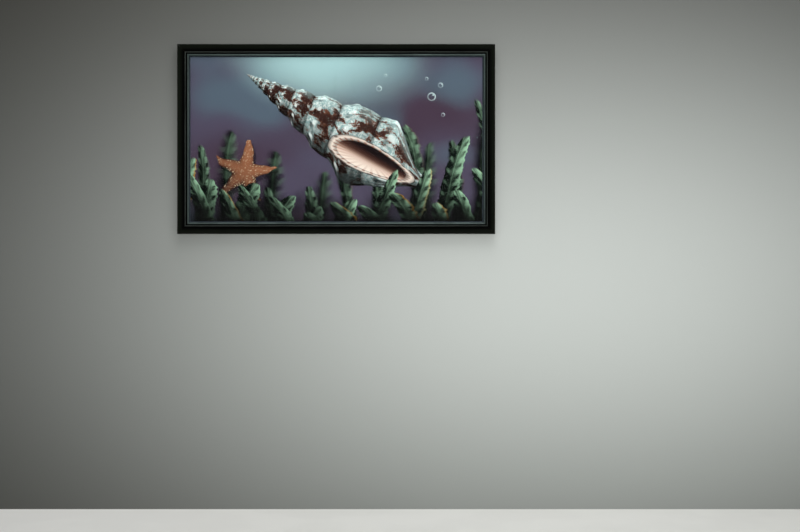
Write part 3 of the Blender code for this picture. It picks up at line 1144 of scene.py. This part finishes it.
@dataclass(frozen=True)
class BlackLacquer(Finish):
    """Satin black paint on a wooden moulding, with bare wood behind.

    Places on the section are in millimetres: in from the outer edge, and forward of the back.
    """

    slot: ClassVar[str] = "black_lacquer"
    fixed: ClassVar[dict[Skin, float]] = {Skin.SHINE: 0.03, Skin.COAT_ROUGH: 0.22}

    black: Colour = paint(2, 2, 2)
    # Painted sheen: a lighter black laid on the outer part of the face and the outer sides
    thin_black: Colour = paint(15, 18, 13)
    # Painted sheen on the outer sides
    side_black: Colour = paint(36, 38, 35)
    # Burnished bead, partly a painted highlight on its crown
    burnished: Colour = paint(66, 72, 68)
    primer: Colour = paint(78, 70, 60)
    dust: Colour = paint(168, 166, 158)
    wood: Colour = paint(196, 168, 124)
    wood_dark: Colour = paint(150, 116, 76)
    depth: float = 35.0
    rebate: float = 32.8
    rebate_depth: float = 22.9
    bead_in: float = 35.2
    bead_forward: float = 32.2
    bead_reach: Span = (2.3, 1.2)
    thinning: Span = (29.0, 7.0)
    side_edge: Span = (1.2, 0.3)
    arris_reach: Span = (3.0, 1.6)
    back_reach: Span = (0.45, 0.15)
    spray_reach: Span = (8.0, 11.0)
    rebate_spray: Span = (24.0, 17.0)

    def surface(self, place: Signal) -> dict[Skin, Signal]:
        """Lays paint over grain, paints sheen on its outer edge and sides and a highlight on its
        bead, rubs its bead and edges, dusts it and bares the back.

        Args:
            place: The Object coordinates.

        Returns:
            The signals for the shader's inputs.
        """
        spot = moulding_spot(place)
        inward, forward = spot.inward, spot.forward
        grain = LongGrain().used(grain=spot.grain, along=14.0, across=1500.0, contrast=0.6)
        brush = LongGrain().used(grain=spot.grain, along=5.0, across=420.0, contrast=0.7)
        cloud = spot.grain.noise(26.0)
        tone = brush.value * 0.6 + cloud * 0.4
        # Painted sheen, lighter towards the outer edge and streaked by the brush
        painted_sheen = inward.smooth(*self.thinning) * (0.80 + tone.smooth(0.35, 0.75) * 0.40)
        # Painted sheen on the outer side faces, below the front arris
        side = inward.smooth(*self.side_edge) * forward.smooth(self.depth - 2.0, self.depth - 4.0)
        bead = abs(inward - self.bead_in).smooth(*self.bead_reach)
        bead = bead * forward.smooth(self.bead_forward, self.bead_forward + 0.9)
        # The bead's crown: rubbed bare, and partly a painted highlight
        rub_and_highlight = bead * (brush.value + grain.value * 0.3).smooth(0.25, 0.75)
        arris = (inward + (self.depth - forward)).smooth(*self.arris_reach)
        worn = EdgeWear().used(place=place, edge=arris, amount=0.24, fineness=300.0).mask
        dust = DustFall().used(place=place, normal=place.normal(), amount=0.08).mask
        bare = self._bare(inward, forward, cloud)
        dull = Maths.MAXIMUM(Maths.MAXIMUM(dust, bare), worn)
        height = grain.value * 0.5 + brush.value * 0.3 - grain.pores * (0.5 + bare)
        colour = layered(
            self.black,
            (painted_sheen.capped(), self.thin_black),
            (side, scaled(self.side_black, 0.6 + tone * 0.8)),
            (rub_and_highlight * 0.85, self.burnished),
            (worn * 0.7, self.primer),
            (dust, self.dust),
            (bare, self._wood(spot.grain, grain)),
        )
        return {
            Skin.COLOUR: colour,
            Skin.METAL: rub_and_highlight * 0.35,
            Skin.ROUGH: 0.27 + brush.value.swing(0.16) + dull * 0.42 + rub_and_highlight * 0.04,
            Skin.COAT: (1.0 - dull) * 0.01,
            Skin.NORMAL: (height - worn * 0.8).bump(0.00012, 0.7),
        }

    def _bare(self, inward: Signal, forward: Signal, cloud: Signal) -> Signal:
        """Where no paint was laid: the flat back and the rebate, but for overspray.

        Args:
            inward: How far in the spot is.
            forward: How far forward it is.
            cloud: What makes the overspray uneven.

        Returns:
            The mask of the bare wood.
        """
        spray = (inward + cloud * 6.0).smooth(*self.spray_reach)
        rebate = inward.smooth(self.rebate - 0.3, self.rebate)
        rebate = rebate * forward.smooth(self.rebate_depth, self.rebate_depth - 0.4)
        rebate = rebate * (forward + cloud * 8.0).smooth(*self.rebate_spray)
        return Maths.MAXIMUM(forward.smooth(*self.back_reach) * spray, rebate)

    def _wood(self, lie: Signal, grain: Bundle) -> Signal:
        """Pale planed wood with growth rings and pores.

        Args:
            lie: The vector along the grain.
            grain: The streaks and pores of the wood.

        Returns:
            The wood's colour.
        """
        along, inward, forward = lie.parts()
        bend = joined(along * 2.2, inward * 30.0, forward * 30.0).noise(1.0)
        rings = Maths.SINE(inward * 900.0 + forward * 500.0 + bend * 26.0)
        return layered(
            self.wood_dark,
            ((rings * 0.25 + grain.value).smooth(0.20, 0.95), self.wood),
            (grain.pores * 0.6, dimmed(self.wood_dark, 0.6)),
        )


@dataclass(frozen=True)
class PewterLeaf(Finish):
    """Tarnished pewter leaf on the slip, lapped along it and rubbed on its crown."""

    slot: ClassVar[str] = "pewter_leaf"
    fixed: ClassVar[dict[Skin, float]] = {Skin.SHINE: 0.4}

    leaf: Colour = paint(91, 105, 102)
    tarnish: Colour = paint(60, 71, 68)
    bole: Colour = paint(30, 34, 38)
    dust: Colour = paint(150, 152, 148)
    leaf_length: float = 0.086
    bead_in: float = 45.65
    bead_front: float = 28.4

    def surface(self, place: Signal) -> dict[Skin, Signal]:
        """Lays leaves end to end, tarnishes them and rubs through to the dark ground.

        Args:
            place: The Object coordinates.

        Returns:
            The signals for the shader's inputs.
        """
        spot = moulding_spot(place)
        step = spot.grain.parts()[0] * (1.0 / self.leaf_length) + spot.grain.noise(30.0) * 0.10
        own = joined(Maths.FLOOR(step) * 7.31, 0.5, 0.5).noise(1.0, 0.0)
        lap = abs(Maths.FRACT(step) - 0.5).smooth(0.488, 0.497)
        cloud = spot.grain.noise(130.0, 4.0, 0.62, 0.4)
        fine = LongGrain().used(grain=spot.grain, along=60.0, across=2200.0, contrast=0.8).value
        dull = (cloud * 0.7 + own * 0.5).smooth(0.50, 0.78)
        crown = spot.forward.smooth(self.bead_front, self.bead_front + 0.8)
        worn = EdgeWear().used(place=place, edge=crown, amount=0.22, fineness=600.0).mask
        foot = spot.inward.smooth(self.bead_in + 2.8, self.bead_in + 3.8)
        ground = Maths.MAXIMUM(worn, foot * 0.55)
        dust = DustFall().used(place=place, normal=place.normal(), amount=0.10).mask
        bare = Maths.MAXIMUM(Maths.MAXIMUM(ground, dust), dull * 0.4)
        colour = layered(
            self.leaf,
            (dull * 0.75, self.tarnish),
            (lap * 0.45, self.tarnish),
            (ground, self.bole),
            (dust, self.dust),
        )
        return {
            Skin.COLOUR: colour,
            Skin.METAL: 0.85 - bare * 0.7,
            Skin.ROUGH: 0.40 + dull * 0.12 + fine.swing(0.14) + ground * 0.1,
            Skin.NORMAL: (fine * 0.4 + lap * 0.8 - worn * 0.8).bump(0.00006, 0.8),
        }


@dataclass(frozen=True)
class ClearAcrylic(Finish):
    """Clear glazing with an anti-glare face and faint smears."""

    slot: ClassVar[str] = "clear_acrylic"
    fixed: ClassVar[dict[Skin, float]] = {
        Skin.METAL: 0.0,
        Skin.GLASS: 1.0,
        Skin.BEND: 1.10,
        Skin.SHINE: 0.5,
    }

    clear: Colour = paint(253, 254, 254)
    smear: Colour = paint(249, 251, 250)

    def surface(self, place: Signal) -> dict[Skin, Signal]:
        """Smears the face with drawn-out noise, where a cloth has passed."""
        marks = place.stretched((5.0, 1.0, 2.0)).noise(3.0, 3.0, 0.6, 1.2).smooth(0.55, 0.72)
        return {Skin.COLOUR: blend(marks, self.clear, self.smear), Skin.ROUGH: 0.11 + marks * 0.04}


@dataclass(frozen=True)
class CharcoalBoard(Finish):
    """Charcoal window mount of dense card, paler where the bevel is cut through its core."""

    slot: ClassVar[str] = "charcoal_board"
    fixed: ClassVar[dict[Skin, float]] = {Skin.SHINE: 0.2}

    face: Colour = paint(38, 46, 53)
    face_dark: Colour = paint(26, 32, 39)
    core: Colour = paint(58, 66, 72)
    fleck: Colour = paint(88, 94, 98)

    def surface(self, place: Signal) -> dict[Skin, Signal]:
        """Mats fibres, and lightens what faces neither forward nor back.

        Args:
            place: The Object coordinates.

        Returns:
            The signals for the shader's inputs.
        """
        fibres = BoardFibres().used(place=place, fineness=2600.0)
        colour = layered(
            self.face_dark,
            ((fibres.value * 0.7 + place.noise(40.0) * 0.3).smooth(0.36, 0.64), self.face),
            (fibres.flecks * 0.35, self.fleck),
            (abs(place.facing()).smooth(0.92, 0.80) * 0.7, self.core),
        )
        return {
            Skin.COLOUR: colour,
            Skin.ROUGH: 0.82 + fibres.value.swing(0.2),
            Skin.NORMAL: fibres.value.bump(0.00005, 0.8),
        }


@dataclass(frozen=True)
class PrintedPaper(Finish):
    """The picture on satin photographic paper, white behind and at its cut edges."""

    slot: ClassVar[str] = "printed_paper"
    fixed: ClassVar[dict[Skin, float]] = {Skin.SHINE: 0.06}

    paper: Colour = paint(236, 237, 232)

    def surface(self, place: Signal) -> dict[Skin, Signal]:
        """Prints the picture on the front face only.

        Args:
            place: The Object coordinates.

        Returns:
            The signals for the shader's inputs.
        """
        front = place.facing().smooth(-0.5, -0.7)
        tooth = place.noise(3800.0, 1.0)
        return {
            Skin.COLOUR: blend(front, self.paper, SeaPicture().colour(place)),
            Skin.ROUGH: 0.46 + tooth.swing(0.12),
            Skin.NORMAL: tooth.bump(0.00002, 0.5),
        }


@dataclass(frozen=True)
class FoamBoard(Finish):
    """White foam board: smooth paper faces, and bubbles along its cut edges."""

    slot: ClassVar[str] = "foam_board"
    fixed: ClassVar[dict[Skin, float]] = {Skin.SHINE: 0.3}

    paper: Colour = paint(236, 236, 230)
    foam: Colour = paint(222, 222, 214)
    hollow: Colour = paint(176, 176, 168)

    def surface(self, place: Signal) -> dict[Skin, Signal]:
        """Shows cells only on the edges, with painted shade in their hollows.

        Args:
            place: The Object coordinates.

        Returns:
            The signals for the shader's inputs.
        """
        edge = abs(place.facing()).smooth(0.7, 0.4)
        cell = place.cells(1900.0)
        # Painted shade in the open cells of the cut foam
        foam = blend(cell.smooth(0.45, 0.12), self.foam, self.hollow)
        fibres = BoardFibres().used(place=place, fineness=1500.0).value
        return {
            Skin.COLOUR: blend(edge, scaled(self.paper, 0.95 + fibres * 0.08), foam),
            Skin.ROUGH: 0.62 + edge * 0.2,
            Skin.NORMAL: (cell * edge + fibres * 0.2).bump(0.0001, 0.7),
        }


@dataclass(frozen=True)
class Hardboard(Finish):
    """Brown pressed board, its outer face marked by the screen it was pressed on."""

    slot: ClassVar[str] = "hardboard"
    fixed: ClassVar[dict[Skin, float]] = {Skin.SHINE: 0.25}

    light: Colour = paint(150, 112, 74)
    dark: Colour = paint(98, 68, 42)
    fibre: Colour = paint(64, 42, 26)
    pale: Colour = paint(186, 150, 108)
    dust: Colour = paint(176, 168, 154)
    screen_pitch: float = 0.0018
    dust_level: Span = (-0.24, -0.36)

    def surface(self, place: Signal) -> dict[Skin, Signal]:
        """Mats fibres, presses the screen into them with painted shade in its hollows, and lets
        dust lie on the lower edge.

        Args:
            place: The Object coordinates.

        Returns:
            The signals for the shader's inputs.
        """
        x, _, z = place.parts()
        fibres = BoardFibres().used(place=place, fineness=620.0)
        cloud = place.noise(7.0, 4.0, 0.6)
        stray = place.stretched((500.0, 1.0, 90.0)).noise(1.0).smooth(0.68, 0.74)
        per_pitch = math.tau / self.screen_pitch
        weft, warp = Maths.SINE((x + z) * per_pitch), Maths.SINE((x - z) * per_pitch)
        screen = Maths.MAXIMUM(weft, warp)
        behind = place.facing().smooth(0.5, 0.8)
        board = layered(
            self.dark,
            ((fibres.value * 0.90 + cloud * 0.12).smooth(0.30, 0.72), self.light),
            (fibres.flecks * 0.55, self.fibre),
            (stray * 0.5, self.pale),
        )
        # Painted shade: darker in the hollows of the screen
        pressed = scaled(board, 1.0 - screen.smooth(0.4, -0.6) * behind * 0.22)
        drift = (z - CENTRE_Z + cloud * 0.12).smooth(*self.dust_level) * 0.30
        lying = drift * behind * cloud.smooth(0.35, 0.6)
        return {
            Skin.COLOUR: blend(lying, pressed, self.dust),
            Skin.ROUGH: 0.72 + fibres.value.swing(0.2),
            Skin.NORMAL: (screen * behind * 0.6 + fibres.value * 0.5).bump(0.00018, 0.8),
        }


@dataclass(frozen=True)
class AnodisedBar(Finish):
    """Satin aluminium strip, drawn lengthwise, scuffed along the lip that hooks on the wall."""

    slot: ClassVar[str] = "anodised_bar"
    fixed: ClassVar[dict[Skin, float]] = {Skin.SHINE: 0.5}

    metal: Colour = paint(196, 198, 200)
    shade: Colour = paint(158, 161, 166)
    scuff: Colour = paint(226, 228, 228)
    lip_reach: Span = (-0.0035, -0.0010)

    def surface(self, place: Signal) -> dict[Skin, Signal]:
        """Draws fine lines along X, and rubs them bright near the wall.

        Args:
            place: The Object coordinates.

        Returns:
            The signals for the shader's inputs.
        """
        drawn = LongGrain().used(grain=place, along=4.0, across=3600.0, contrast=0.9).value
        cloud = place.noise(18.0)
        lying = place.stretched((90.0, 300.0, 300.0))
        hair = HairScratches().used(place=lying, amount=0.4).mask
        lip = place.parts()[1].smooth(*self.lip_reach)
        rubbed = EdgeWear().used(place=place, edge=lip, amount=0.50, fineness=260.0).mask
        bright = Maths.MAXIMUM(hair * 0.7, rubbed)
        colour = layered(
            self.shade,
            ((drawn + cloud * 0.3).smooth(0.3, 1.0), self.metal),
            (bright, self.scuff),
        )
        return {
            Skin.COLOUR: colour,
            Skin.METAL: 0.95 - cloud * 0.1,
            Skin.ROUGH: 0.38 + drawn.swing(0.2) - bright * 0.1,
            Skin.NORMAL: (drawn * 0.6 - bright * 0.4).bump(0.00004, 0.8),
        }


@dataclass(frozen=True)
class ZincClip(Finish):
    """Bright zinc plate on pressed spring steel, with its crystals and a yellowish cast."""

    slot: ClassVar[str] = "zinc_clip"
    fixed: ClassVar[dict[Skin, float]] = {Skin.SHINE: 0.5}

    blue: Colour = paint(178, 186, 196)
    straw: Colour = paint(190, 184, 156)
    grey: Colour = paint(128, 134, 142)
    rust: Colour = paint(116, 74, 44)

    def surface(self, place: Signal) -> dict[Skin, Signal]:
        """Mixes crystals, a cast and a few rust freckles.

        Args:
            place: The Object coordinates.

        Returns:
            The signals for the shader's inputs.
        """
        crystals = place.cells(420.0, "Color").parts()[0]
        cast = place.noise(55.0, 3.0)
        rust = (place.noise(900.0, 2.0, 0.7) + cast * 0.25).smooth(0.80, 0.86)
        hair = HairScratches().used(place=scaled(place, 320.0), amount=0.5).mask
        colour = layered(
            self.blue,
            (cast.smooth(0.42, 0.62), self.straw),
            (crystals * 0.45, self.grey),
            (rust, self.rust),
        )
        return {
            Skin.COLOUR: colour,
            Skin.METAL: 0.96 - rust * 0.9,
            Skin.ROUGH: 0.34 + crystals * 0.14 + rust * 0.4 - hair * 0.1,
            Skin.NORMAL: (crystals * 0.4 - hair).bump(0.00004, 0.7),
        }


@dataclass(frozen=True)
class BrassScrew(Finish):
    """Brass-plated screw, dulled in patches by the years and scratched across."""

    slot: ClassVar[str] = "brass_screw"
    fixed: ClassVar[dict[Skin, float]] = {Skin.SHINE: 0.5}

    brass: Colour = paint(206, 170, 96)
    brown: Colour = paint(112, 82, 44)
    bright: Colour = paint(236, 210, 150)

    def surface(self, place: Signal) -> dict[Skin, Signal]:
        """Tarnishes in patches and scratches across.

        Args:
            place: The Object coordinates.

        Returns:
            The signals for the shader's inputs.
        """
        patch = place.noise(520.0, 3.0, 0.6)
        dull = patch.smooth(0.44, 0.66)
        hair = HairScratches().used(place=scaled(place, 700.0), amount=0.7).mask
        return {
            Skin.COLOUR: layered(self.brass, (dull * 0.8, self.brown), (hair * 0.7, self.bright)),
            Skin.METAL: 0.95 - dull * 0.25,
            Skin.ROUGH: 0.30 + dull * 0.25,
            Skin.NORMAL: (patch * 0.4 - hair).bump(0.00003, 0.6),
        }


@dataclass(frozen=True)
class GreyRubber(Finish):
    """Soft grey rubber, matt, with lint on it."""

    slot: ClassVar[str] = "grey_rubber"
    fixed: ClassVar[dict[Skin, float]] = {Skin.SHINE: 0.3}

    rubber: Colour = paint(92, 94, 97)
    worn: Colour = paint(120, 122, 124)
    lint: Colour = paint(182, 180, 172)

    def surface(self, place: Signal) -> dict[Skin, Signal]:
        """Greys the rubber unevenly and strews lint.

        Args:
            place: The Object coordinates.

        Returns:
            The signals for the shader's inputs.
        """
        cloud = place.noise(240.0, 3.0, 0.6)
        tooth = place.noise(2600.0, 2.0, 0.6)
        worn = cloud.smooth(0.4, 0.65)
        lint = place.cells(760.0).smooth(0.16, 0.08) * 0.6
        return {
            Skin.COLOUR: layered(self.rubber, (worn, self.worn), (lint, self.lint)),
            Skin.ROUGH: 0.78 + tooth.swing(0.2),
            Skin.NORMAL: tooth.bump(0.00005, 0.6),
        }


@dataclass(frozen=True)
class WallPaint(Finish):
    """Matt grey wall with a painted pool of light low on its right, seen from the front only."""

    slot: ClassVar[str] = "room_wall"
    fixed: ClassVar[dict[Skin, float]] = {Skin.SHINE: 0.1}

    lit: Colour = paint(199, 204, 200)
    dim: Colour = paint(44, 42, 37)
    pool_x: float = 1.25
    pool_z: float = -1.09
    pool_wide: float = 2.29
    pool_high: float = 1.12

    def surface(self, place: Signal) -> dict[Skin, Signal]:
        """Fades from the painted pool of light outwards over a faint roller texture.

        Args:
            place: The Object coordinates.

        Returns:
            The signals for the shader's inputs.
        """
        x, _, z = place.parts()
        aside = (x - self.pool_x) * (1 / self.pool_wide)
        above = (z - self.pool_z) * (1 / self.pool_high)
        # Painted pool of light, falling off from its middle
        painted_pool = Maths.POWER(math.e, (aside * aside + above * above) * -1.0)
        roller = place.noise(420.0, 3.0, 0.6)
        return {
            Skin.COLOUR: scaled(blend(painted_pool, self.dim, self.lit), 0.985 + roller * 0.03),
            Skin.ROUGH: 0.85 + roller.swing(0.1),
            Skin.NORMAL: roller.bump(0.00008, 0.5),
        }


@dataclass(frozen=True)
class FloorPaint(Finish):
    """Plain pale floor."""

    slot: ClassVar[str] = "room_floor"
    fixed: ClassVar[dict[Skin, float]] = {Skin.SHINE: 0.2}

    pale: Colour = paint(208, 208, 204)
    paler: Colour = paint(211, 211, 207)

    def surface(self, place: Signal) -> dict[Skin, Signal]:
        """Clouds the floor a little.

        Args:
            place: The Object coordinates.

        Returns:
            The signals for the shader's inputs.
        """
        cloud = place.noise(3.0, 3.0)
        return {
            Skin.COLOUR: blend(cloud.smooth(0.4, 0.6), self.pale, self.paler),
            Skin.ROUGH: 0.75 + cloud.swing(0.1),
        }


def nodes_named(*starts: str) -> list[str]:
    """The CAD nodes whose names start with any of some words, in order."""
    return sorted(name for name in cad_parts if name.startswith(starts))


@dataclass(frozen=True)
class GeometryBench:
    """Builds a Geometry Nodes tree, runs it on an empty mesh and keeps the plain result."""

    title: str
    sizes: dict[str, float]

    def run(self, draw: Callable[[Bundle], Signal], finish: Finish) -> bpy.types.Object:
        """Makes one finished piece.

        Args:
            draw: Writes the nodes from the named sizes, and returns the geometry.
            finish: What the piece is dressed in.

        Returns:
            The piece, which rides on the frame's only body.
        """

        def whole(given: Bundle) -> Bundle:
            """Makes the drawn instances real and paints them.

            Args:
                given: The piece's sizes.

            Returns:
                The geometry.
            """
            real = node("GeometryNodeRealizeInstances", {0: draw(given)})
            painted = {"Geometry": real, "Material": finish.material()}
            return Bundle(geometry=node("GeometryNodeSetMaterial", painted))

        tree = bpy.data.node_groups.new(f"{self.title}_tree", "GeometryNodeTree")
        write_group(tree, self.sizes, whole)
        piece = bpy.data.objects.new(self.title, bpy.data.meshes.new(self.title))
        bpy.context.scene.collection.objects.link(piece)
        modifier = piece.modifiers.new("shape", "NODES")
        modifier.node_group = tree
        for name, value in self.sizes.items():
            modifier[tree.interface.items_tree[spoken(name)].identifier] = value
        graph = bpy.context.evaluated_depsgraph_get()
        plain = bpy.data.meshes.new_from_object(piece.evaluated_get(graph), depsgraph=graph)
        piece.modifiers.remove(modifier)
        piece.data = plain
        plain.materials.clear()
        plain.materials.append(finish.material())
        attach(piece, "root")
        log.info("%s has %d faces", self.title, len(plain.polygons))
        return piece


@dataclass(frozen=True)
class Moulding:
    """The black wooden moulding, mitred at its corners and pinned there from behind."""

    first_pin: float = 0.0105
    pin_step: float = 0.0115
    pins_a_mitre: int = 2
    pin_leg: float = 0.0042
    pin_thick: float = 0.0009
    pin_deep: float = 0.0024
    pin_proud: float = 0.00012
    pin_curve: int = 14

    def build(self) -> None:
        """Dresses the rails and stiles, and presses the pins in."""
        BlackLacquer().dress(*nodes_named("rail_", "stile_"))
        sizes = {
            "half_width": HALF_WIDTH - self.first_pin,
            "half_height": HALF_HEIGHT - self.first_pin,
            "middle_level": CENTRE_Z,
            "face": BACK_Y + self.pin_proud - self.pin_deep / 2,
            "step": self.pin_step,
            "leg": self.pin_leg,
            "thick": self.pin_thick,
            "deep": self.pin_deep,
        }
        GeometryBench("mitre_pins", sizes).run(self._pins, ZincClip())

    def _pins(self, given: Bundle) -> Signal:
        """Sets V-shaped pins in a row across each mitre, their points towards the corner.

        Args:
            given: The places and sizes of the pins.

        Returns:
            The pins, as instances.
        """
        tree = given.step.socket.id_data
        grid = {
            "Vertices X": 2,
            "Vertices Y": 2,
            "Size X": given.half_width * 2.0,
            "Size Y": given.half_height * 2.0,
        }
        corners = node("GeometryNodeMeshToPoints", {"Mesh": node("GeometryNodeMeshGrid", grid)})
        row = {"Geometry": corners, "Amount": self.pins_a_mitre}
        pins = node("GeometryNodeDuplicateElements", row, domain="POINT")
        back = pins.beside("Duplicate Index") * given.step
        x, level, _ = node("GeometryNodeInputPosition", {}, tree=tree).parts()
        up = level - Maths.SIGN(level) * back + given.middle_level
        place = joined(x - Maths.SIGN(x) * back, given.face, up)
        placed = node("GeometryNodeSetPosition", {"Geometry": pins, "Position": place})
        x, _, z = node("GeometryNodeInputPosition", {}, tree=tree).parts()
        outward = joined(Maths.SIGN(x), 0.0, Maths.SIGN(z - given.middle_level))
        turned = node("FunctionNodeAlignRotationToVector", {"Vector": outward}, axis="X")
        laid = {"Points": placed, "Instance": self._pin(given), "Rotation": turned}
        return node("GeometryNodeInstanceOnPoints", laid)

    def _pin(self, given: Bundle) -> Signal:
        """One pin: a strip bent to a round V, standing on its edge in the wood.

        Args:
            given: The places and sizes of the pins.

        Returns:
            The pin's mesh.
        """
        leg = given.leg
        bend = {
            "Resolution": self.pin_curve,
            "Start": joined(leg * -0.7, leg),
            "Middle": joined(leg * 0.9, 0.0),
            "End": joined(leg * -0.7, leg * -1.0),
        }
        section = {"Width": given.thick, "Height": given.deep}
        swept = {
            "Curve": node("GeometryNodeCurveQuadraticBezier", bend),
            "Profile Curve": node("GeometryNodeCurvePrimitiveQuadrilateral", section),
            "Fill Caps": True,
        }
        strip = {"Geometry": node("GeometryNodeCurveToMesh", swept)}
        return node("GeometryNodeTransform", {**strip, "Rotation": (math.pi / 2, 0.0, 0.0)})


@dataclass(frozen=True)
class Slip:
    """The pewter slip inside the moulding."""

    def build(self) -> None:
        """Dresses the four lengths of the slip."""
        PewterLeaf().dress(*nodes_named("slip_"))


@dataclass(frozen=True)
class PicturePack:
    """What lies behind the slip: glazing, window mount, print, foam board and back."""

    def build(self) -> None:
        """Dresses the layers from front to back, and keeps the glazing from shading them."""
        ClearAcrylic().dress("glazing")
        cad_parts["glazing"].visible_shadow = False
        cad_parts["glazing"].visible_diffuse = False
        CharcoalBoard().dress("window_mount")
        PrintedPaper().dress("print")
        FoamBoard().dress("foam_board")
        Hardboard().dress("backing_board")


@dataclass(frozen=True)
class Fixings:
    """The bar that the picture hangs by, the clips that hold its back, and the bumpers."""

    def build(self) -> None:
        """Dresses the metal and the rubber."""
        AnodisedBar().dress("hanger_bar")
        BrassScrew().dress(*nodes_named("bar_screw_", "clip_screw_"))
        ZincClip().dress(*nodes_named("clip_top_", "clip_bottom_", "clip_left_", "clip_right_"))
        GreyRubber().dress(*nodes_named("bumper_"))


@dataclass(frozen=True)
class Lamp:
    """A soft square light, aimed at the middle of the picture and out of sight itself."""

    name: str
    at: Point
    size: float
    power: float
    glare: bool = True
    spread: float = math.pi


@dataclass(frozen=True)
class Room:
    """A plain wall and floor with soft light. The wall is clear from behind, without a shadow.

    The sky lights the object gently, and is paler where it shows as a backdrop.
    """

    wall_gap: float = 0.0006
    wall_half_width: float = 4.5
    wall_height: float = 3.6
    floor_level: float = -2.016
    floor_reach: float = 7.0
    sky: float = 0.12
    backdrop: float = 0.50
    lamps: tuple[Lamp, ...] = (
        Lamp("front_light", (0.28, -5.2, -0.87), 0.78, 36.0, False, math.radians(100)),
        Lamp("top_light", (0.3, -1.7, 2.5), 2.6, 82.0),
        Lamp("right_light", (2.6, -3.5, 0.2), 3.0, 36.0),
        Lamp("left_light", (-2.9, -3.5, -0.4), 3.0, 12.0),
        Lamp("back_light", (1.9, 3.0, 1.4), 2.0, 90.0),
        Lamp("back_fill", (-2.2, 2.6, -0.8), 2.4, 60.0),
    )

    def build(self) -> None:
        """Puts up the wall and floor and hangs the lights."""
        low, high = self.floor_level, self.floor_level + self.wall_height
        half, y = self.wall_half_width, self.wall_gap
        corners = [(-half, y, low), (half, y, low), (half, y, high), (-half, y, high)]
        wall = self._sheet(corners, WallPaint())
        wall.visible_shadow = False
        self._front_only(wall.data.materials[0])
        reach = self.floor_reach
        ends = ((-reach, -reach), (reach, -reach), (reach, reach), (-reach, reach))
        self._sheet([(*end, low) for end in ends], FloorPaint())
        for lamp in self.lamps:
            self._hang(lamp)
        self._sky()

    def _sky(self) -> None:
        """Lights the room evenly from all round."""
        world = bpy.data.worlds.new("room_sky")
        world.use_nodes = True
        sky = world.node_tree.nodes["Background"]
        feed(sky.inputs["Color"], (1.0, 1.0, 1.0))
        seen = node("ShaderNodeLightPath", {}, "Is Camera Ray", world.node_tree)
        feed(sky.inputs["Strength"], seen * (self.backdrop - self.sky) + self.sky)
        bpy.context.scene.world = world

    def _sheet(self, corners: list[Point], finish: Finish) -> bpy.types.Object:
        """Lays a flat stage piece.

        Args:
            corners: Its four corners.
            finish: Its finish, whose slot names it.

        Returns:
            The piece.
        """
        mesh = bpy.data.meshes.new(finish.slot)
        mesh.from_pydata(corners, [], [(0, 1, 2, 3)])
        mesh.materials.append(finish.material())
        sheet = bpy.data.objects.new(finish.slot, mesh)
        bpy.context.scene.collection.objects.link(sheet)
        log.info("%s stands", finish.slot)
        return sheet

    def _front_only(self, material: bpy.types.Material) -> None:
        """Clears a material where it is seen from behind.

        Args:
            material: The material.
        """
        tree = material.node_tree
        surface = tree.nodes["Material Output"].inputs["Surface"]
        shown = Signal(surface.links[0].from_socket)
        behind = node("ShaderNodeNewGeometry", {}, "Backfacing", tree)
        clear = node("ShaderNodeBsdfTransparent", {}, tree=tree)
        feed(surface, node("ShaderNodeMixShader", {0: behind, 1: shown, 2: clear}))

    def _hang(self, lamp: Lamp) -> None:
        """Hangs one light, turned to the picture.

        Args:
            lamp: The light.
        """
        data = bpy.data.lights.new(lamp.name, "AREA")
        data.size = lamp.size
        data.energy = lamp.power
        data.spread = lamp.spread
        light = bpy.data.objects.new(lamp.name, data)
        light.location = lamp.at
        away = Vector((0.0, FRONT_Y, CENTRE_Z)) - light.location
        light.rotation_euler = away.to_track_quat("-Z", "Y").to_euler()
        light.visible_camera = False
        light.visible_glossy = lamp.glare
        light.visible_transmission = lamp.glare
        bpy.context.scene.collection.objects.link(light)
        log.info("%s hangs", lamp.name)


@dataclass(frozen=True)
class Viewpoint:
    """The camera, level and square to the wall, to the picture's right and below it."""

    distance: float = 5.0
    right: float = 0.279
    below: float = 0.5555
    lens: float = 51.49
    sensor: float = 36.0
    near: float = 0.01

    def build(self) -> None:
        """Sets the camera up."""
        data = bpy.data.cameras.new("viewpoint")
        data.lens = self.lens
        data.sensor_width = self.sensor
        data.clip_start = self.near
        camera = bpy.data.objects.new("viewpoint", data)
        camera.location = (self.right, FRONT_Y - self.distance, CENTRE_Z - self.below)
        camera.rotation_euler = (math.pi / 2, 0.0, 0.0)
        bpy.context.scene.collection.objects.link(camera)
        bpy.context.scene.camera = camera


def main() -> None:
    """Builds and dresses the framed picture, then the room around it."""
    logging.basicConfig(level=logging.INFO, format="%(name)s: %(message)s")
    bpy.context.scene.view_settings.view_transform = "Standard"
    for part in (Viewpoint(), Moulding(), Slip(), PicturePack(), Fixings(), Room()):
        part.build()
        log.info("%s is done", type(part).__name__)


if __name__ == "__main__":
    main()
